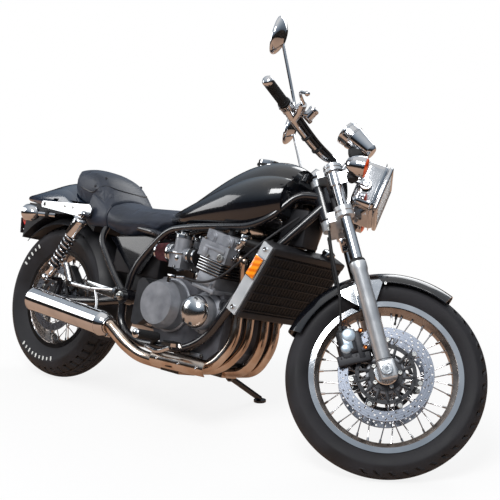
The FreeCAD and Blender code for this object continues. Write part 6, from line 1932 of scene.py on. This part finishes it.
def arc_points(start, through, end, count):
    """Points along the arc through three (y, z) places, without its last point."""
    (ax, ay), (bx, by), (cx, cy) = start, through, end
    d = 2 * (ax * (by - cy) + bx * (cy - ay) + cx * (ay - by))
    a, b, c = ax * ax + ay * ay, bx * bx + by * by, cx * cx + cy * cy
    x = (a * (by - cy) + b * (cy - ay) + c * (ay - by)) / d
    y = (a * (cx - bx) + b * (ax - cx) + c * (bx - ax)) / d
    first, middle, last = (math.atan2(v - y, u - x) for u, v in (start, through, end))
    sweep = (last - first) % (2 * math.pi)
    if (middle - first) % (2 * math.pi) > sweep:
        sweep -= 2 * math.pi
    radius = math.hypot(ax - x, ay - y)
    return [(x + radius * math.cos(first + sweep * k / count),
             y + radius * math.sin(first + sweep * k / count)) for k in range(count)]


def saddle_loop(row):
    """The closed outline of one section, drawn in by the inset."""
    ahead, low, shoulder, high, half_low, half_mid, half_high = row
    low, shoulder, high = low + PAD_INSET / 2, shoulder - PAD_INSET, high - PAD_INSET
    half_low, half_mid, half_high = (half - PAD_INSET for half in (half_low, half_mid, half_high))
    middle = (low + shoulder) / 2
    loop = [(-half_low + 2 * half_low * k / 8, low) for k in range(8)]
    loop += arc_points((half_low, low), (half_mid, middle), (half_high, shoulder), 10)
    loop += arc_points((half_high, shoulder), (0, high), (-half_high, shoulder), 16)
    loop += arc_points((-half_high, shoulder), (-half_mid, middle), (-half_low, low), 10)
    return [spot(ahead, y, z) for y, z in loop]


def between_rows(rows, steps):
    """Rows of a smooth run through the table's rows."""
    made = []
    for index in range(len(rows) - 1):
        before, near = rows[max(index - 1, 0)], rows[index]
        far, after = rows[index + 1], rows[min(index + 2, len(rows) - 1)]
        for step in range(steps):
            t = step / steps
            made.append(tuple(
                0.5 * (2 * q + (r - p) * t + (2 * p - 5 * q + 4 * r - s) * t * t
                       + (3 * q - p - 3 * r + s) * t ** 3)
                for p, q, r, s in zip(before, near, far, after)))
    return made + [rows[-1]]


def make_pad(name, rows, node):
    """A padded seat: the section loft, puffed up by a cloth simulation and softened."""
    bm = bmesh.new()
    table = between_rows(rows, 5)
    table[0] = (table[0][0] - PAD_INSET / 2, *table[0][1:])
    table[-1] = (table[-1][0] + PAD_INSET / 2, *table[-1][1:])
    loops = [[bm.verts.new(place) for place in saddle_loop(row)] for row in table]
    for near, far in zip(loops, loops[1:]):
        join_loops(bm, near, far)
    bm.faces.new(loops[0])
    bm.faces.new(loops[-1])
    made = piece(name, bm, "chassis", "vinyl", (node,), 180)
    remesh = made.modifiers.new("even", "REMESH")
    remesh.mode = "VOXEL"
    remesh.voxel_size = VOXEL
    soften = made.modifiers.new("soften", "SMOOTH")
    soften.iterations = 2
    apply_modifiers(made)
    puff(made)
    refined(made, 1, 180)
    return made


def puff(made):
    """Blow the pad up as cloth, then keep each point within the cap of where it was."""
    before = [v.co.copy() for v in made.data.vertices]
    cloth = made.modifiers.new("puff", "CLOTH")
    cloth.settings.use_pressure = True
    cloth.settings.uniform_pressure_force = PUFF_FORCE
    cloth.settings.effector_weights.gravity = 0
    cloth.point_cache.frame_start = 1
    cloth.point_cache.frame_end = PUFF_FRAMES
    for step in range(1, PUFF_FRAMES + 1):
        bpy.context.scene.frame_set(step)
    apply_modifiers(made)
    bpy.context.scene.frame_set(1)
    for vert, start in zip(made.data.vertices, before):
        move = vert.co - start
        if move.length > PUFF_CAP:
            vert.co = start + move.normalized() * PUFF_CAP


def surface_of(*objects):
    """A search tree over finished pieces, in the row frame."""
    verts, faces = [], []
    for made in objects:
        first = len(verts)
        verts += [v.co.copy() for v in made.data.vertices]
        faces += [[first + index for index in face.vertices] for face in made.data.polygons]
    return BVHTree.FromPolygons(verts, faces)


def laid_on(tree, start, way, lift=0.6):
    """Where a ray from start along way meets the surface, lifted off it; all upright, in mm."""
    place = PLACES["chassis"]
    turned = (place.to_3x3() @ way).normalized()
    hit, normal = tree.ray_cast(place @ start, turned)[:2]
    if hit is None:
        return None
    if normal.dot(turned) > 0:
        normal = -normal
    return place.inverted() @ (hit + normal * lift * MM)


# Rows of the side skirts, down from the pad. Columns: the rear edge's place ahead, its height and
# its distance out, then the front edge's height and its distance out.
SKIRT_ROWS = ((172, 776, 124, 724, 134), (168, 745, 128, 713, 142), (168, 712, 133, 700, 148),
              (170, 684, 136, 685, 150), (174, 662, 137, 668, 148), (184, 646, 134, 653, 141),
              (200, 640, 126, 644, 131))
SKIRT_FRONT = 310
SKIRT_WALL = 12
SKIRT_STEPS = 8
SKIRT_BULGE = 2
SKIRT_CREASE = 60


def make_skirts():
    """The seat's side skirts, which hang in front of the struts."""
    skirts = bmesh.new()
    for sign in SIGNS:
        outer, inner = [], []
        for rear, rear_height, rear_out, front_height, front_out in SKIRT_ROWS:
            line, back = [], []
            for step in range(SKIRT_STEPS + 1):
                share = step / SKIRT_STEPS
                ahead = rear + (SKIRT_FRONT - rear) * share
                height = rear_height + (front_height - rear_height) * share
                out = rear_out + (front_out - rear_out) * share + SKIRT_BULGE * math.sin(math.pi * share)
                line.append(skirts.verts.new((ahead, sign * out, height)))
                back.append(skirts.verts.new((ahead, sign * (out - SKIRT_WALL), height)))
            outer.append(line)
            inner.append(back)
        for sheet in (outer, inner):
            for near, far in zip(sheet, sheet[1:]):
                for k in range(SKIRT_STEPS):
                    skirts.faces.new((near[k], near[k + 1], far[k + 1], far[k]))
        last = len(SKIRT_ROWS) - 1
        around = ([(r, 0) for r in range(last + 1)] + [(last, k) for k in range(1, SKIRT_STEPS + 1)]
                  + [(r, SKIRT_STEPS) for r in range(last - 1, -1, -1)]
                  + [(0, k) for k in range(SKIRT_STEPS - 1, 0, -1)])
        join_loops(skirts, *([sheet[r][k] for r, k in around] for sheet in (outer, inner)))
    made = piece("seat_skirts", skirts, "chassis", "vinyl", (), SKIRT_CREASE)
    return refined(made, 2, SKIRT_CREASE)


# The pillion's piping. Columns: ahead and height on the side, then across and height at the front.
PIPING_SIDE = ((34, 800), (80, 792), (130, 780), (176, 772), (200, 790), (222, 806), (244, 806))
PIPING_FRONT = ((-84, 800), (-50, 798), (0, 797), (50, 798), (84, 800))
PIPING_RADIUS, SEAM_RADIUS, NOSE_SEAM_RADIUS = 2.3, 0.9, 1.2
# The double seam on each side. Columns: how far it bends ahead of its line, and the height.
SEAM_AHEAD = 282
SEAM_BENDS = ((3, 792), (0, 765), (-2, 735), (-3, 705), (-2, 680), (2, 655))
SEAM_LIFT = 0.1
# Where rays towards the seat start from on either side, in front and behind.
FROM_SIDE, FROM_FRONT, FROM_BEHIND, FROM_ABOVE = 300, 500, -200, 900


def lay_hose(bm, tree, rays, radius, lift=0.6):
    """A hose laid on the seat, through where each ray (start, way) meets it."""
    places = [laid_on(tree, start, way, lift) for start, way in rays]
    hose(bm, [place for place in places if place], radius)


def make_seats():
    """Both padded seats, the skirts, and the piping, seams and snaps laid on them."""
    rider = make_pad("rider_pad", RIDER_ROWS, "rider_seat")
    pillion = make_pad("pillion_pad", PILLION_ROWS, "pillion_seat")
    tree = surface_of(rider, pillion, make_skirts())
    piping, seams, snaps = meshes(3)

    def from_side(sign, ahead, height):
        return spot(ahead, sign * FROM_SIDE, height), -Y_AXIS * sign

    rays = [from_side(-1, *place) for place in PIPING_SIDE]
    rays += [(spot(FROM_FRONT, y, height), -X_AXIS) for y, height in PIPING_FRONT]
    rays += [from_side(1, *place) for place in reversed(PIPING_SIDE)]
    lay_hose(piping, tree, rays, PIPING_RADIUS)
    lay_hose(piping, tree, [(spot(FROM_BEHIND, y, 800), X_AXIS) for y in range(-80, 81, 20)],
             PIPING_RADIUS)
    for sign, out in SIDEWAYS:
        for shift in (0, 6):
            rays = [from_side(sign, SEAM_AHEAD - shift + bend, height) for bend, height in SEAM_BENDS]
            lay_hose(seams, tree, rays, SEAM_RADIUS, SEAM_LIFT)
        rays = [from_side(sign, ahead, 664 + (ahead - 320) * 0.06) for ahead in range(320, 600, 35)]
        lay_hose(seams, tree, rays, SEAM_RADIUS, SEAM_LIFT)
        rays = [(spot(592, sign * y, FROM_ABOVE), -Z_AXIS) for y in range(0, 61, 12)]
        lay_hose(seams, tree, rays, NOSE_SEAM_RADIUS, SEAM_LIFT)
        for place in ((205, 838), (182, 800)):
            at = laid_on(tree, *from_side(sign, *place))
            if at:
                lathe(snaps, [(0, 3), (4, 2.6), (6, 1), (6.4, -2)], at, out, 24)
    piece("seat_piping", piping, "chassis", "piping_vinyl")
    piece("seat_seams", seams, "chassis", "plastic")
    piece("seat_snaps", snaps, "chassis", "cast_dark")


make_seats()


bpy.context.scene.view_settings.view_transform = "Standard"
make_camera()
make_floor()
make_world()
make_dark_card()
make_sky_card()
make_brown_card()
make_lamps()
